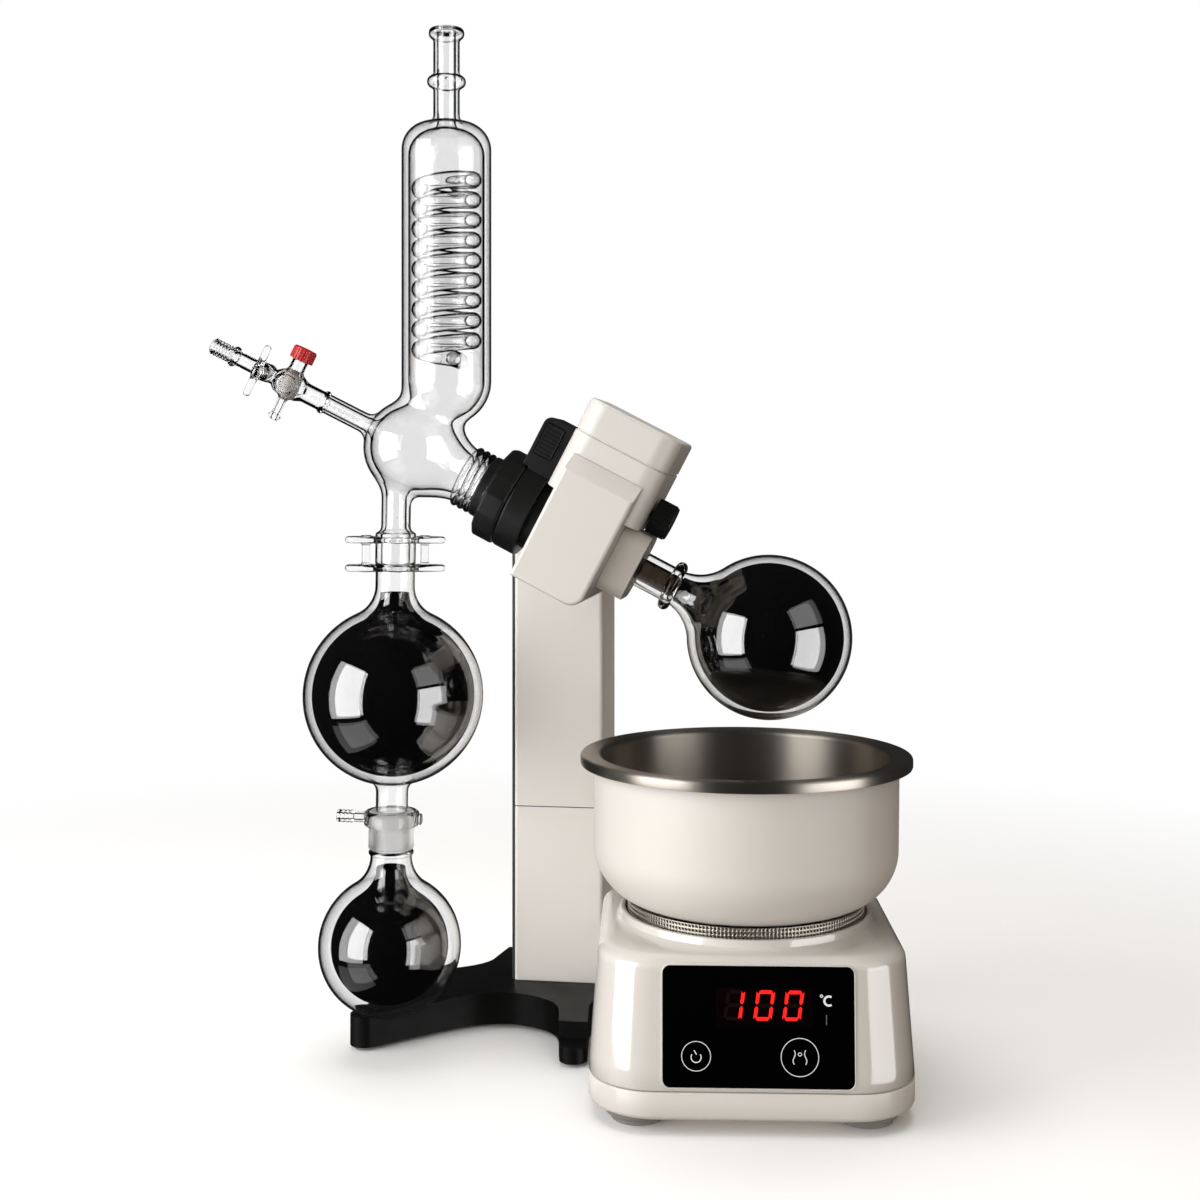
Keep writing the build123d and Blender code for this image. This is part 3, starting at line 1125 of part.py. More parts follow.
with BuildPart() as column_guide:
    strip_front = COLUMN_FRONT + GUIDE_SETBACK
    with BuildSketch(level(COLUMN_FOOT_Z, COLUMN_LEFT - GUIDE_STANDS_OUT, strip_front)) as strip:
        Rectangle(GUIDE_STANDS_OUT - SOFT_FIT, GUIDE_DEPTH, align=(Align.MIN, Align.MIN))
    extrude(strip.sketch, amount=GUIDE_HEIGHT)
    chamfer(column_guide.edges().filter_by(Axis.Z).group_by(Axis.X)[0], GUIDE_STANDS_OUT / 3)
save(column_guide, "column_guide")

with BuildPart() as mast:
    with BuildSketch(level(COLUMN_FOOT_Z, column_middle, mast_front)) as section:
        Rectangle(MAST_WIDTH, MAST_DEPTH, align=(Align.CENTER, Align.MIN))
        groove = (MAST_WIDTH - 2 * MAST_WALL, MAST_DEPTH - MAST_WALL)
        Rectangle(*groove, align=(Align.CENTER, Align.MIN), mode=Mode.SUBTRACT)
    extrude(section.sketch, amount=MAST_HEIGHT)
save(mast, "mast")

with BuildPart() as lift_actuator:
    lift_base = level(COLUMN_FOOT_Z, column_middle, lift_y)
    rod(lift_base, LIFT_MOTOR_RADIUS, LIFT_MOTOR_HEIGHT)
    rod(lift_base, LIFT_TUBE_RADIUS, LIFT_TUBE_TOP_Z - COLUMN_FOOT_Z)
    rod_room = LIFT_TUBE_TOP_Z - LIFT_ROD_Z + SHOE_GAP
    tube_top = lift_base.offset(LIFT_TUBE_TOP_Z - COLUMN_FOOT_Z)
    rod(tube_top, LIFT_ROD_RADIUS + RUN_FIT, -rod_room, mode=Mode.SUBTRACT)
save(lift_actuator, "lift_actuator")

with BuildPart() as lift_rod:
    rod_length = COLUMN_TOP_Z - COLUMN_WALL - LIFT_ROD_Z
    rod(lift_base.offset(LIFT_ROD_Z - COLUMN_FOOT_Z), LIFT_ROD_RADIUS, rod_length)
save(lift_rod, "lift_rod")

with BuildPart() as guide_shoe:
    shoe_front = lift_y - LIFT_TUBE_RADIUS - SHOE_WALL
    with BuildSketch(level(SHOE_Z, column_middle, shoe_front)) as section:
        shoe_depth = mast_front - SHOE_GAP - shoe_front
        Rectangle(COLUMN_WIDTH - 2 * COLUMN_WALL, shoe_depth, align=(Align.CENTER, Align.MIN))
        tongue = MAST_WIDTH - 2 * MAST_WALL - 2 * SOFT_FIT
        Rectangle(tongue, shoe_depth + SHOE_GAP + SHOE_TONGUE, align=(Align.CENTER, Align.MIN))
        with Locations((0, lift_y - shoe_front)):
            Circle(LIFT_TUBE_RADIUS + SOFT_FIT, mode=Mode.SUBTRACT)
    extrude(section.sketch, amount=SHOE_HEIGHT)
save(guide_shoe, "guide_shoe")

with BuildPart() as stand_inlet:
    mains_inlet(stand_inlet_plane)
save(stand_inlet, "stand_inlet")

# Cast foot: a long left leg, a slim front leg and a rear right leg in one plate
FOOT_REACH_X = COLUMN_LEFT - FOOT_TIP_X
FOOT_REACH_Y = COLUMN_FRONT - FOOT_TIP_Y
front_edge_shares = [
    (0.22, 0.06),
    (0.44, 0.29),
    (0.74, 0.55),
    (1.10, 0.63),
    (1.25, 0.57),
    (1.42, 0.42),
    (1.49, 0.21),
]
back_edge_shares = [(0.29, 1.28), (0.47, 1.36), (0.59, 1.43), (0.71, 1.60)]
SLOPE_SHARE = 0.74  # where along the left leg the top starts to fall
BACK_LEG_SHARE = 0.75  # how far in front of the column's back the rear leg starts


def foot_points(shares):
    """Points of the foot's edge, from shares of the way from the left tip to the column."""
    return [(FOOT_TIP_X + x * FOOT_REACH_X, FOOT_TIP_Y + y * FOOT_REACH_Y) for x, y in shares]


with BuildPart() as foot:
    with BuildSketch(level(FOOT_CLEAR)) as plan:
        with BuildLine():
            tip_turn = FOOT_TIP_RADIUS * sqrt(0.5)
            tip_start = (FOOT_TIP_X - FOOT_TIP_RADIUS, FOOT_TIP_Y)
            tip_low = (FOOT_TIP_X - tip_turn, FOOT_TIP_Y - tip_turn)
            tip_end = (FOOT_TIP_X + tip_turn, FOOT_TIP_Y - tip_turn)
            leg_left = (FOOT_LEG_X - FOOT_LEG_RADIUS, FOOT_LEG_Y)
            leg_right = (FOOT_LEG_X + FOOT_LEG_RADIUS, FOOT_LEG_Y)
            ThreePointArc(tip_start, tip_low, tip_end)
            Spline(tip_end, *foot_points(front_edge_shares), leg_left)
            ThreePointArc(leg_left, (FOOT_LEG_X, FOOT_LEG_Y - FOOT_LEG_RADIUS), leg_right)
            column_right = COLUMN_LEFT + COLUMN_WIDTH
            right_tip = (FOOT_RIGHT_X, column_back - COLUMN_DEPTH / 2)
            Polyline(
                leg_right,
                (column_right - COLUMN_CORNER, COLUMN_FRONT / 2),
                (column_right + BRACKET_SIDE, column_back - BACK_LEG_SHARE * COLUMN_DEPTH),
                (FOOT_RIGHT_X - FOOT_TIP_RADIUS, right_tip[1] - FOOT_TIP_RADIUS),
                (FOOT_RIGHT_X, right_tip[1]),
                (FOOT_RIGHT_X, right_tip[1] + FOOT_TIP_RADIUS),
                (column_right + BRACKET_SIDE, FOOT_BACK_Y),
                (COLUMN_LEFT - FOOT_BACK_OUT, FOOT_BACK_Y),
                foot_points(back_edge_shares)[-1],
            )
            Spline(*reversed(foot_points(back_edge_shares)))
            Line(foot_points(back_edge_shares)[0], tip_start)
        make_face()
    extrude(plan.sketch, amount=FOOT_HEIGHT - FOOT_CLEAR)
    with BuildSketch(leaning(0, 0, 0)) as slope:
        with BuildLine():
            slope_start = FOOT_TIP_X + SLOPE_SHARE * FOOT_REACH_X
            slope_end = FOOT_TIP_X - FOOT_TIP_RADIUS - OVERRUN
            low = FOOT_HEIGHT - FOOT_SLOPE_DROP
            Polyline(
                (slope_start, FOOT_HEIGHT),
                (slope_end, low),
                (slope_end, FOOT_HEIGHT + OVERRUN),
                (slope_start, FOOT_HEIGHT + OVERRUN),
                close=True,
            )
        make_face()
    extrude(slope.sketch, amount=-FOOT_BACK_Y, mode=Mode.SUBTRACT)
    rod(level(FOOT_CLEAR, FOOT_TIP_X, FOOT_TIP_Y), FOOT_TIP_RADIUS, FOOT_TIP_HEIGHT - FOOT_CLEAR)
    tip_top = level(FOOT_TIP_HEIGHT, FOOT_TIP_X, FOOT_TIP_Y)
    rod(tip_top, TIP_RECESS_RADIUS, -TIP_RECESS_DEPTH, mode=Mode.SUBTRACT)
    leg_top = level(FOOT_HEIGHT - FOOT_LEG_DROP, FOOT_LEG_X, FOOT_LEG_Y + FOOT_LEG_RADIUS - FOOT_LEG_STEP)
    with BuildSketch(leg_top) as step:
        Rectangle(2 * FOOT_LEG_STEP, FOOT_LEG_STEP, align=(Align.CENTER, Align.MIN))
    extrude(step.sketch, amount=FOOT_LEG_DROP + OVERRUN, mode=Mode.SUBTRACT)
save(foot, "foot")

pad_places = [
    (FOOT_TIP_X, FOOT_TIP_Y),
    (FOOT_LEG_X, FOOT_LEG_Y + PAD_RADIUS / 3),
    (COLUMN_LEFT - BRACKET_SIDE, FOOT_BACK_Y - 2 * PAD_RADIUS),
    (FOOT_RIGHT_X - FOOT_TIP_RADIUS, column_back - COLUMN_DEPTH / 2),
]
with BuildPart() as foot_pads:
    for x, y in pad_places:
        rod(level(0, x, y), PAD_RADIUS, FOOT_CLEAR)
save(foot_pads, "foot_pads")

# Heating bath, turned a little to face the user and set just clear of the foot's front leg
BATH_X = FOOT_LEG_X + FOOT_LEG_RADIUS + (BATH_HALF_WIDTH + BATH_GAP) / cos(radians(BATH_ANGLE))
BATH = level(0, BATH_X, 0, BATH_ANGLE)


def bath_face(z, half_width, corner):
    """Level section of the bath housing, a square with round corners."""
    with BuildSketch(BATH.offset(z)) as section:
        RectangleRounded(2 * half_width, 2 * half_width, corner)
    return section.sketch.face()


housing_rise = BATH_TOP_Z - BATH_SEAM_Z
bath_top_half_width = BATH_HALF_WIDTH - BATH_TAPER
housing_lean = atan2(BATH_TAPER, housing_rise)
panel_up = (PANEL_LOW_Z - BATH_SEAM_Z + PANEL_HEIGHT / 2) * cos(housing_lean)
panel_out = BATH_HALF_WIDTH - panel_up * tan(housing_lean)
panel_origin = BATH.from_local_coords((PANEL_X, -panel_out, BATH_SEAM_Z + panel_up))
panel_normal = BATH.y_dir * -cos(housing_lean) + BATH.z_dir * sin(housing_lean)
PANEL = Plane(origin=panel_origin, x_dir=BATH.x_dir, z_dir=panel_normal)
inlet_out = BATH_HALF_WIDTH - (BATH_INLET_Z - BATH_SEAM_Z) * tan(housing_lean)
inlet_spot = BATH.from_local_coords((0, inlet_out, 0)) - Vector(AXIS_X, GLASS_Y, 0)
bath_inlet_plane = inlet_plane_on(inlet_spot.X, inlet_spot.Y, BATH_INLET_Z, BATH_ANGLE, housing_lean)

with BuildPart() as bath_housing:
    shell_low = bath_face(BATH_SEAM_Z, BATH_HALF_WIDTH, BATH_CORNER)
    shell_high = bath_face(BATH_TOP_Z, bath_top_half_width, BATH_TOP_CORNER)
    loft([shell_low, shell_high])
    fillet(bath_housing.edges().group_by(Axis.Z)[-1], BATH_EDGE)
    rod(BATH.offset(BATH_TOP_Z), SEAT_RADIUS, SEAT_HEIGHT)
    rod(BATH.offset(BATH_TOP_Z), SEAT_RADIUS - SEAT_WALL, SEAT_HEIGHT, mode=Mode.SUBTRACT)
    room_low = bath_face(BATH_SEAM_Z, BATH_HALF_WIDTH - BATH_WALL, BATH_CORNER - BATH_WALL)
    room_width = bath_top_half_width - BATH_WALL
    room_high = bath_face(BATH_TOP_Z - BATH_WALL, room_width, BATH_TOP_CORNER - BATH_WALL)
    loft([room_low, room_high], mode=Mode.SUBTRACT)
    with BuildSketch(PANEL.offset(PANEL_STANDS_OUT)) as recess:
        RectangleRounded(PANEL_WIDTH, PANEL_HEIGHT, PANEL_CORNER)
    extrude(recess.sketch, amount=-PANEL_THICK, mode=Mode.SUBTRACT)
    with BuildSketch(PANEL) as window:
        with Locations((DISPLAY_X, DISPLAY_Y)):
            Rectangle(DISPLAY_WIDTH, DISPLAY_HEIGHT)
    extrude(window.sketch, amount=-2 * BATH_WALL, mode=Mode.SUBTRACT)
    inlet_hole(bath_inlet_plane, 2 * BATH_WALL)
save(bath_housing, "bath_housing")

with BuildPart() as bath_skirt:
    extrude(bath_face(BATH_FOOT_Z, BATH_HALF_WIDTH, BATH_CORNER), amount=BATH_SEAM_Z - BATH_FOOT_Z)
    fillet(bath_skirt.edges().group_by(Axis.Z)[0], BATH_FLOOR)
    skirt_room = bath_face(BATH_FOOT_Z + BATH_FLOOR, BATH_HALF_WIDTH - BATH_WALL, BATH_CORNER - BATH_WALL)
    extrude(skirt_room, amount=BATH_SEAM_Z - BATH_FOOT_Z, mode=Mode.SUBTRACT)
save(bath_skirt, "bath_skirt")

with BuildPart() as bath_feet:
    for side in (-1, 1):
        for end in (-1, 1):
            spot = BATH.from_local_coords((side * BATH_PAD_PLACE, end * BATH_PAD_PLACE, 0))
            pad_plane = Plane(origin=spot)
            rod(pad_plane, BATH_PAD_RADIUS - BATH_PAD_STEP, BATH_FOOT_Z)
            rod(pad_plane.offset(BATH_FOOT_Z / 2), BATH_PAD_RADIUS, BATH_FOOT_Z / 2)
save(bath_feet, "bath_feet")

with BuildPart() as vent_ring:
    rod(BATH.offset(BATH_TOP_Z), RING_RADIUS, RING_HEIGHT, RING_RADIUS - RING_WALL)
    slot_plane = BATH.offset(BATH_TOP_Z + RING_HEIGHT / 2)
    with Locations(slot_plane):
        with PolarLocations(RING_RADIUS, RING_SLOTS):
            Box(3 * RING_WALL, RING_SLOT_WIDTH, RING_SLOT_HEIGHT, mode=Mode.SUBTRACT)
save(vent_ring, "vent_ring")


bath_axis = Axis(BATH.origin, (0, 0, 1))
bath_side = Plane(origin=BATH.origin, x_dir=BATH.x_dir, z_dir=-BATH.y_dir)
bowl_top = RIM_TOP_Z - PAN_WALL - SOFT_FIT


def vessel(radius, low, high, corner, mode=Mode.ADD):
    """A round vessel turned about the bath's axis."""
    lift = corner * (1 - sqrt(0.5))
    with BuildSketch(bath_side) as section:
        with BuildLine():
            ThreePointArc((radius - corner, low), (radius - lift, low + lift), (radius, low + corner))
            Polyline((radius, low + corner), (radius, high), (0, high), (0, low), (radius - corner, low))
        make_face()
    revolve(section.sketch, axis=bath_axis, mode=mode)


with BuildPart() as bath_bowl:
    vessel(BOWL_RADIUS, BOWL_BOTTOM_Z, bowl_top, BOWL_CORNER)
    inner_corner = BOWL_CORNER - BOWL_WALL
    bowl_room = BOWL_RADIUS - BOWL_WALL
    vessel(bowl_room, BOWL_BOTTOM_Z + BOWL_WALL, bowl_top + OVERRUN, inner_corner, mode=Mode.SUBTRACT)
save(bath_bowl, "bath_bowl")

with BuildPart() as bath_pan:
    vessel(PAN_RADIUS, PAN_FLOOR_Z, RIM_TOP_Z, PAN_CORNER)
    rim_low = RIM_TOP_Z - RIM_DROP
    rim_roll = RIM_RADIUS - PAN_WALL
    rim_shape = [
        (0, RIM_TOP_Z),
        (RIM_RADIUS - PAN_WALL, RIM_TOP_Z),
        (RIM_RADIUS, RIM_TOP_Z - PAN_WALL),
        (RIM_RADIUS, rim_low),
        (rim_roll, rim_low),
        (rim_roll, RIM_TOP_Z - PAN_WALL),
        (0, RIM_TOP_Z - PAN_WALL),
    ]
    turned(bath_side, (0, 0, 1), rim_shape)
    pan_room = PAN_RADIUS - PAN_WALL
    vessel(pan_room, PAN_FLOOR_Z + PAN_WALL, RIM_TOP_Z + OVERRUN, PAN_CORNER - PAN_WALL, mode=Mode.SUBTRACT)
save(bath_pan, "bath_pan")

with BuildPart() as heater_plate:
    rod(BATH.offset(BOWL_BOTTOM_Z + BOWL_WALL), HEATER_RADIUS, PAN_FLOOR_Z - BOWL_BOTTOM_Z - BOWL_WALL)
save(heater_plate, "heater_plate")

with BuildPart() as control_panel:
    with BuildSketch(PANEL.offset(PANEL_STANDS_OUT)) as glass:
        RectangleRounded(PANEL_WIDTH, PANEL_HEIGHT, PANEL_CORNER)
    extrude(glass.sketch, amount=-PANEL_THICK)
save(control_panel, "control_panel")

with BuildPart() as display_module:
    with BuildSketch(PANEL.offset(PANEL_STANDS_OUT - PANEL_THICK)) as face:
        with Locations((DISPLAY_X, DISPLAY_Y)):
            Rectangle(DISPLAY_WIDTH, DISPLAY_HEIGHT)
    extrude(face.sketch, amount=-DISPLAY_DEPTH)
save(display_module, "display_module")

with BuildPart() as bath_inlet:
    mains_inlet(bath_inlet_plane)
save(bath_inlet, "bath_inlet")
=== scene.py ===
import json
from math import atan2, cos, pi, radians, sin, sqrt, tan

import bmesh
import bpy
import numpy as np
from mathutils import Matrix, Vector


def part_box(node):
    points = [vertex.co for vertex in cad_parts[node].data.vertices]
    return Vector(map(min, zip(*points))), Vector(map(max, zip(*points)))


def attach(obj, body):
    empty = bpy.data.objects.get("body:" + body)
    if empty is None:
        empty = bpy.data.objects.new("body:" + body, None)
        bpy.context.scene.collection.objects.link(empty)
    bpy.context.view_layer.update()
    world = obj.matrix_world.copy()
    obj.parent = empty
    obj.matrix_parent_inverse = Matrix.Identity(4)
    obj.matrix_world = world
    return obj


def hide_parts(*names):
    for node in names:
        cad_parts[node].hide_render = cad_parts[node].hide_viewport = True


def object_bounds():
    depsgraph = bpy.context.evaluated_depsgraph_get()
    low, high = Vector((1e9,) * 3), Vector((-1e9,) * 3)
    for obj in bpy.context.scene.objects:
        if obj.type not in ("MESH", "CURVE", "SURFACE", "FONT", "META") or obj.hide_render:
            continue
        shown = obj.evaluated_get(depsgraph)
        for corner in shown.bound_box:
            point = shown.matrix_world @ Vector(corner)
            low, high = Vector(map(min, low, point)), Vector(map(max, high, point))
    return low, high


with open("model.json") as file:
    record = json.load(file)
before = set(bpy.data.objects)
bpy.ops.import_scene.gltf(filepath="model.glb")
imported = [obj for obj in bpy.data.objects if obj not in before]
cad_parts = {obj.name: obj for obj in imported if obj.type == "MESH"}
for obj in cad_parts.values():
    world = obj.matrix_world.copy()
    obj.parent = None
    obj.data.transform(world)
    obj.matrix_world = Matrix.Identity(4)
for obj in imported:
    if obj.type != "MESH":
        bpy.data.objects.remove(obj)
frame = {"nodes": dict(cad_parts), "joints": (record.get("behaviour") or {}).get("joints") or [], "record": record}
CAD_LOW, CAD_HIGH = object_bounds()

# Rotary evaporator: a lifting column with a tilting head, blown glassware, and a heating bath.
# Lengths are in metres; MM turns the millimetres of the named sizes into metres.
MM = 0.001
NODES = frame["nodes"]
JOINTS = {joint["name"]: joint for joint in frame["joints"]}

# Lines that the pieces are set out from, all read from the frame
FORWARD = Vector((0, -1, 0))
UP = Vector((0, 0, 1))
HEAD_POINT = Vector(JOINTS["flask_turn"]["pos_m"])
HEAD_RUN = Vector(JOINTS["flask_turn"]["axis"]).normalized()
HEAD_RISE = FORWARD.cross(HEAD_RUN).normalized()
FEED_RISE = Vector(JOINTS["cap_turn"]["axis"]).normalized()
FEED_OUT = FORWARD.cross(FEED_RISE).normalized()
GLASS_Y = HEAD_POINT.y
STACK_LEAN = radians(0.86)
STACK_DOWN = Vector((-sin(STACK_LEAN), 0, -cos(STACK_LEAN)))
BATH_YAW = radians(6)
BATH_ACROSS = Vector((cos(BATH_YAW), sin(BATH_YAW), 0))
BATH_AHEAD = Vector((sin(BATH_YAW), -cos(BATH_YAW), 0))
CUT_ANGLE = radians(38)


def middle(node):
    """Middle of a node's box."""
    low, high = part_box(node)
    return (low + high) / 2


def on_head(run):
    """Point on the head's axis, in millimetres along it."""
    return HEAD_POINT + HEAD_RUN * run * MM


BULB = on_head(-142.4)
FLASK = on_head(184)
BATH = middle("bath_pan")
BATH.z = 0


# Meshes
def mesh_of(name, points, faces, sharp=CUT_ANGLE, weld=MM / 100):
    """Mesh from points in metres and faces, close points welded, shaded smooth up to the sharp angle."""
    mesh = bpy.data.meshes.new(name)
    mesh.from_pydata([tuple(point) for point in points], [], faces)
    shell = bmesh.new()
    shell.from_mesh(mesh)
    if weld:
        bmesh.ops.remove_doubles(shell, verts=shell.verts, dist=weld)
    bmesh.ops.recalc_face_normals(shell, faces=shell.faces)
    shell.to_mesh(mesh)
    shell.free()
    mesh.shade_smooth()
    if sharp:
        mesh.set_sharp_from_angle(angle=sharp)
    return mesh


def place(name, mesh, body, finish, slot, *stands_for):
    """Piece of the object: rides on a body, wears a finish and may stand for CAD nodes."""
    thing = bpy.data.objects.new(name, mesh)
    bpy.context.scene.collection.objects.link(thing)
    thing.data.materials.append(finish)
    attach(thing, body)
    if stands_for:
        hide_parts(*stands_for)
    return thing


def grid_faces(rows, columns, wrap_rows=False):
    """Quads of a grid of points, row by row, each row a closed ring."""
    faces = []
    for row in range(rows if wrap_rows else rows - 1):
        for column in range(columns):
            after, beside = (row + 1) % rows, (column + 1) % columns
            near, far = row * columns, after * columns
            faces.append((near + column, near + beside, far + beside, far + column))
    return faces


def square_to(axis):
    """Two directions square to an axis."""
    axis = Vector(axis).normalized()
    seed = UP if abs(axis.z) < 0.9 else Vector((1, 0, 0))
    first = axis.cross(seed).normalized()
    return first, axis.cross(first).normalized()


def lathe(name, outline, start, axis, sides=96, closed=False, sharp=CUT_ANGLE):
    """Mesh turned about an axis. The outline is (radius, station) pairs in millimetres."""
    axis = Vector(axis).normalized()
    first, second = square_to(axis)
    points = []
    for radius, station in outline:
        heart = Vector(start) + axis * station * MM
        for side in range(sides):
            turn = 2 * pi * side / sides
            points.append(heart + (first * cos(turn) + second * sin(turn)) * radius * MM)
    return mesh_of(name, points, grid_faces(len(outline), sides, wrap_rows=closed), sharp)


CORNER_STEPS = 6


def rounded(corners, closed=False):
    """Outline through corners (x, y, radius), where a corner with a radius becomes an arc."""
    line = []
    count = len(corners)
    for index, corner in enumerate(corners):
        here = Vector(corner[:2])
        at_end = index in (0, count - 1) and not closed
        if len(corner) < 3 or corner[2] == 0 or at_end:
            line.append(tuple(here))
            continue
        before = (Vector(corners[index - 1][:2]) - here).normalized()
        after = (Vector(corners[(index + 1) % count][:2]) - here).normalized()
        half = before.angle(after) / 2
        centre = here + (before + after).normalized() * corner[2] / sin(half)
        first = here + before * corner[2] / tan(half) - centre
        last = here + after * corner[2] / tan(half) - centre
        sweep = first.angle_signed(last)
        for step in range(CORNER_STEPS + 1):
            spoke = first.copy()
            spoke.rotate(Matrix.Rotation(-sweep * step / CORNER_STEPS, 2))
            line.append(tuple(centre + spoke))
    return line


def tube(name, path, radius, sides, bore):
    """Hollow round tube along a path, all in metres."""
    path = [Vector(p) for p in path]
    rings = []
    side_way = square_to(path[1] - path[0])[0]
    for index, point in enumerate(path):
        ahead = path[min(index + 1, len(path) - 1)] - path[max(index - 1, 0)]
        ahead.normalize()
        side_way = (side_way - ahead * side_way.dot(ahead)).normalized()
        rings.append((point, side_way.copy(), ahead.cross(side_way).normalized()))
    points = []
    for size, run in ((radius, rings), (bore, rings[::-1])):
        for point, first, second in run:
            for side in range(sides):
                turn = 2 * pi * side / sides
                points.append(point + (first * cos(turn) + second * sin(turn)) * size)
    return mesh_of(name, points, grid_faces(2 * len(path), sides, wrap_rows=True), weld=0)


def eased(path):
    """Path with its corners cut three times over, ends kept."""
    path = [Vector(p) for p in path]
    for _ in range(3):
        cut = [path[0]]
        for near, far in zip(path, path[1:]):
            cut += [near.lerp(far, 0.25), near.lerp(far, 0.75)]
        path = cut + [path[-1]]
    return path


# Blown glass: distances in millimetres to a form made of balls and tubes that flow into each other
def merged(first, second, flow):
    """Union of two distances with a fillet between them."""
    share = np.clip(0.5 + 0.5 * (second - first) / flow, 0, 1)
    return second + (first - second) * share - flow * share * (1 - share)


def ball_distance(points, centre, radius):
    return np.linalg.norm(points - centre, axis=-1) - radius


def rod_distance(points, start, end, radius, rounding=0.0):
    """Distance to a straight rod with flat ends."""
    start, end = np.asarray(start, float), np.asarray(end, float)
    length = np.linalg.norm(end - start)
    axis = (end - start) / length
    from_start = points - start
    station = from_start @ axis
    out = np.linalg.norm(from_start - station[..., None] * axis, axis=-1) - radius + rounding
    past = np.abs(station - length / 2) - length / 2 + rounding
    outside = np.hypot(np.maximum(out, 0), np.maximum(past, 0))
    return outside + np.minimum(np.maximum(out, past), 0) - rounding


def hollow(body, bores, wall, lip=0.8):
    """Distance to a blown wall: the body less its inside, with the bores open."""
    def distance(points):
        outside = body(points)
        inside = outside + wall
        for bore in bores:
            inside = np.minimum(inside, bore(points))
        return -merged(-outside, inside, lip)
    return distance


def blown(name, distance, low, high, cell):
    """Mesh of the surface where the distance is zero, with its points drawn onto it."""
    low, high = np.asarray(low, float), np.asarray(high, float)
    counts = np.ceil((high - low) / cell).astype(int) + 1
    lines = [low[k] + cell * np.arange(counts[k]) for k in range(3)]
    corners = np.stack(np.meshgrid(*lines, indexing="ij"), -1)
    inside = distance(corners) < 0
    total = sum(
        inside[a : counts[0] - 1 + a, b : counts[1] - 1 + b, c : counts[2] - 1 + c].astype(int)
        for a in (0, 1)
        for b in (0, 1)
        for c in (0, 1)
    )
    crossed = (total > 0) & (total < 8)
    number = np.full(crossed.shape, -1)
    number[crossed] = np.arange(crossed.sum())
    points = corners[:-1, :-1, :-1][crossed] + cell / 2
    probe = np.eye(3) * cell / 50
    for _ in range(8):
        value = distance(points)
        slope = np.stack([distance(points + p) - distance(points - p) for p in probe], -1) * 25 / cell
        size = np.maximum((slope**2).sum(-1), 0.25)
        points = points - np.clip(value / size, -cell, cell)[:, None] * slope
    faces = []
    for axis in range(3):
        beside, behind = np.eye(3, dtype=int)[[(axis + 1) % 3, (axis + 2) % 3]]
        change = np.diff(inside.astype(int), axis=axis)
        where = np.argwhere(change != 0)
        keep = (where @ beside > 0) & (where @ behind > 0)
        keep &= ((where + beside + behind) <= counts - 1 + (beside + behind)).all(1)
        where = where[keep]
        rim = [where - beside - behind, where - behind, where, where - beside]
        inner = np.all([(r < np.array(number.shape)).all(1) for r in rim], axis=0)
        rim = [r[inner] for r in rim]
        quads = np.stack([number[tuple(r.T)] for r in rim], 1)
        leaving = change[tuple(where[inner].T)] > 0
        quads[leaving] = quads[leaving][:, ::-1]
        faces.append(quads[(quads >= 0).all(1)])
    mesh = bpy.data.meshes.new(name)
    mesh.from_pydata((points * MM).tolist(), [], np.concatenate(faces).tolist())
    mesh.shade_smooth()
    return mesh


# Finishes: groups give colours, masks and normals, the shader stays in each material
def group_of(name, inputs, outputs):
    """Empty node group with named sockets, its nodes and its two end nodes."""
    tree = bpy.data.node_groups.new(name, "ShaderNodeTree")
    kinds = {"value": "NodeSocketFloat", "colour": "NodeSocketColor", "vector": "NodeSocketVector"}
    for label, kind, default in inputs:
        socket = tree.interface.new_socket(label, in_out="INPUT", socket_type=kinds[kind])
        socket.default_value = default
    for label, kind in outputs:
        tree.interface.new_socket(label, in_out="OUTPUT", socket_type=kinds[kind])
    return tree, tree.nodes.new("NodeGroupInput"), tree.nodes.new("NodeGroupOutput")


def set_inputs(tree, node, inputs):
    """Inputs of a node by name or number: an output is linked, any other value is set."""
    for label, value in inputs.items():
        if isinstance(value, bpy.types.NodeSocket):
            tree.links.new(value, node.inputs[label])
        else:
            node.inputs[label].default_value = value


def add_node(tree, kind, inputs=None, **properties):
    """Node with its properties set by name and its inputs fed."""
    node = tree.nodes.new("ShaderNode" + kind)
    for label, value in properties.items():
        setattr(node, label, value)
    set_inputs(tree, node, inputs or {})
    return node


def object_noise(tree, start, **inputs):
    """Noise over the object, at the scale that the group is given."""
    place_in = add_node(tree, "TexCoord")
    vector, scale = place_in.outputs["Object"], start.outputs["Scale"]
    return add_node(tree, "TexNoise", {"Vector": vector, "Scale": scale, **inputs})


def mottle_group():
    """Slow change of colour: wear, dust and uneven paint, and a matching change of gloss."""
    tree, start, end = group_of(
        "mottle",
        [("Base", "colour", (1, 1, 1, 1)), ("Tint", "colour", (1, 1, 1, 1)), ("Scale", "value", 20.0),
         ("Amount", "value", 0.5), ("Gloss Low", "value", 0.3), ("Gloss High", "value", 0.5)],
        [("Colour", "colour"), ("Roughness", "value")],
    )
    noise = object_noise(tree, start, Detail=6, Roughness=0.6).outputs["Fac"]
    amount = add_node(tree, "Math", {0: noise, 1: start.outputs["Amount"]}, operation="MULTIPLY")
    base, tint = start.outputs["Base"], start.outputs["Tint"]
    mix = add_node(tree, "Mix", {0: amount.outputs[0], 6: base, 7: tint}, data_type="RGBA")
    gloss = add_node(tree, "MapRange", {
        "Value": noise, "From Min": 0.3, "From Max": 0.7,
        "To Min": start.outputs["Gloss Low"], "To Max": start.outputs["Gloss High"],
    })
    set_inputs(tree, end, {"Colour": mix.outputs[2], "Roughness": gloss.outputs["Result"]})
    return tree


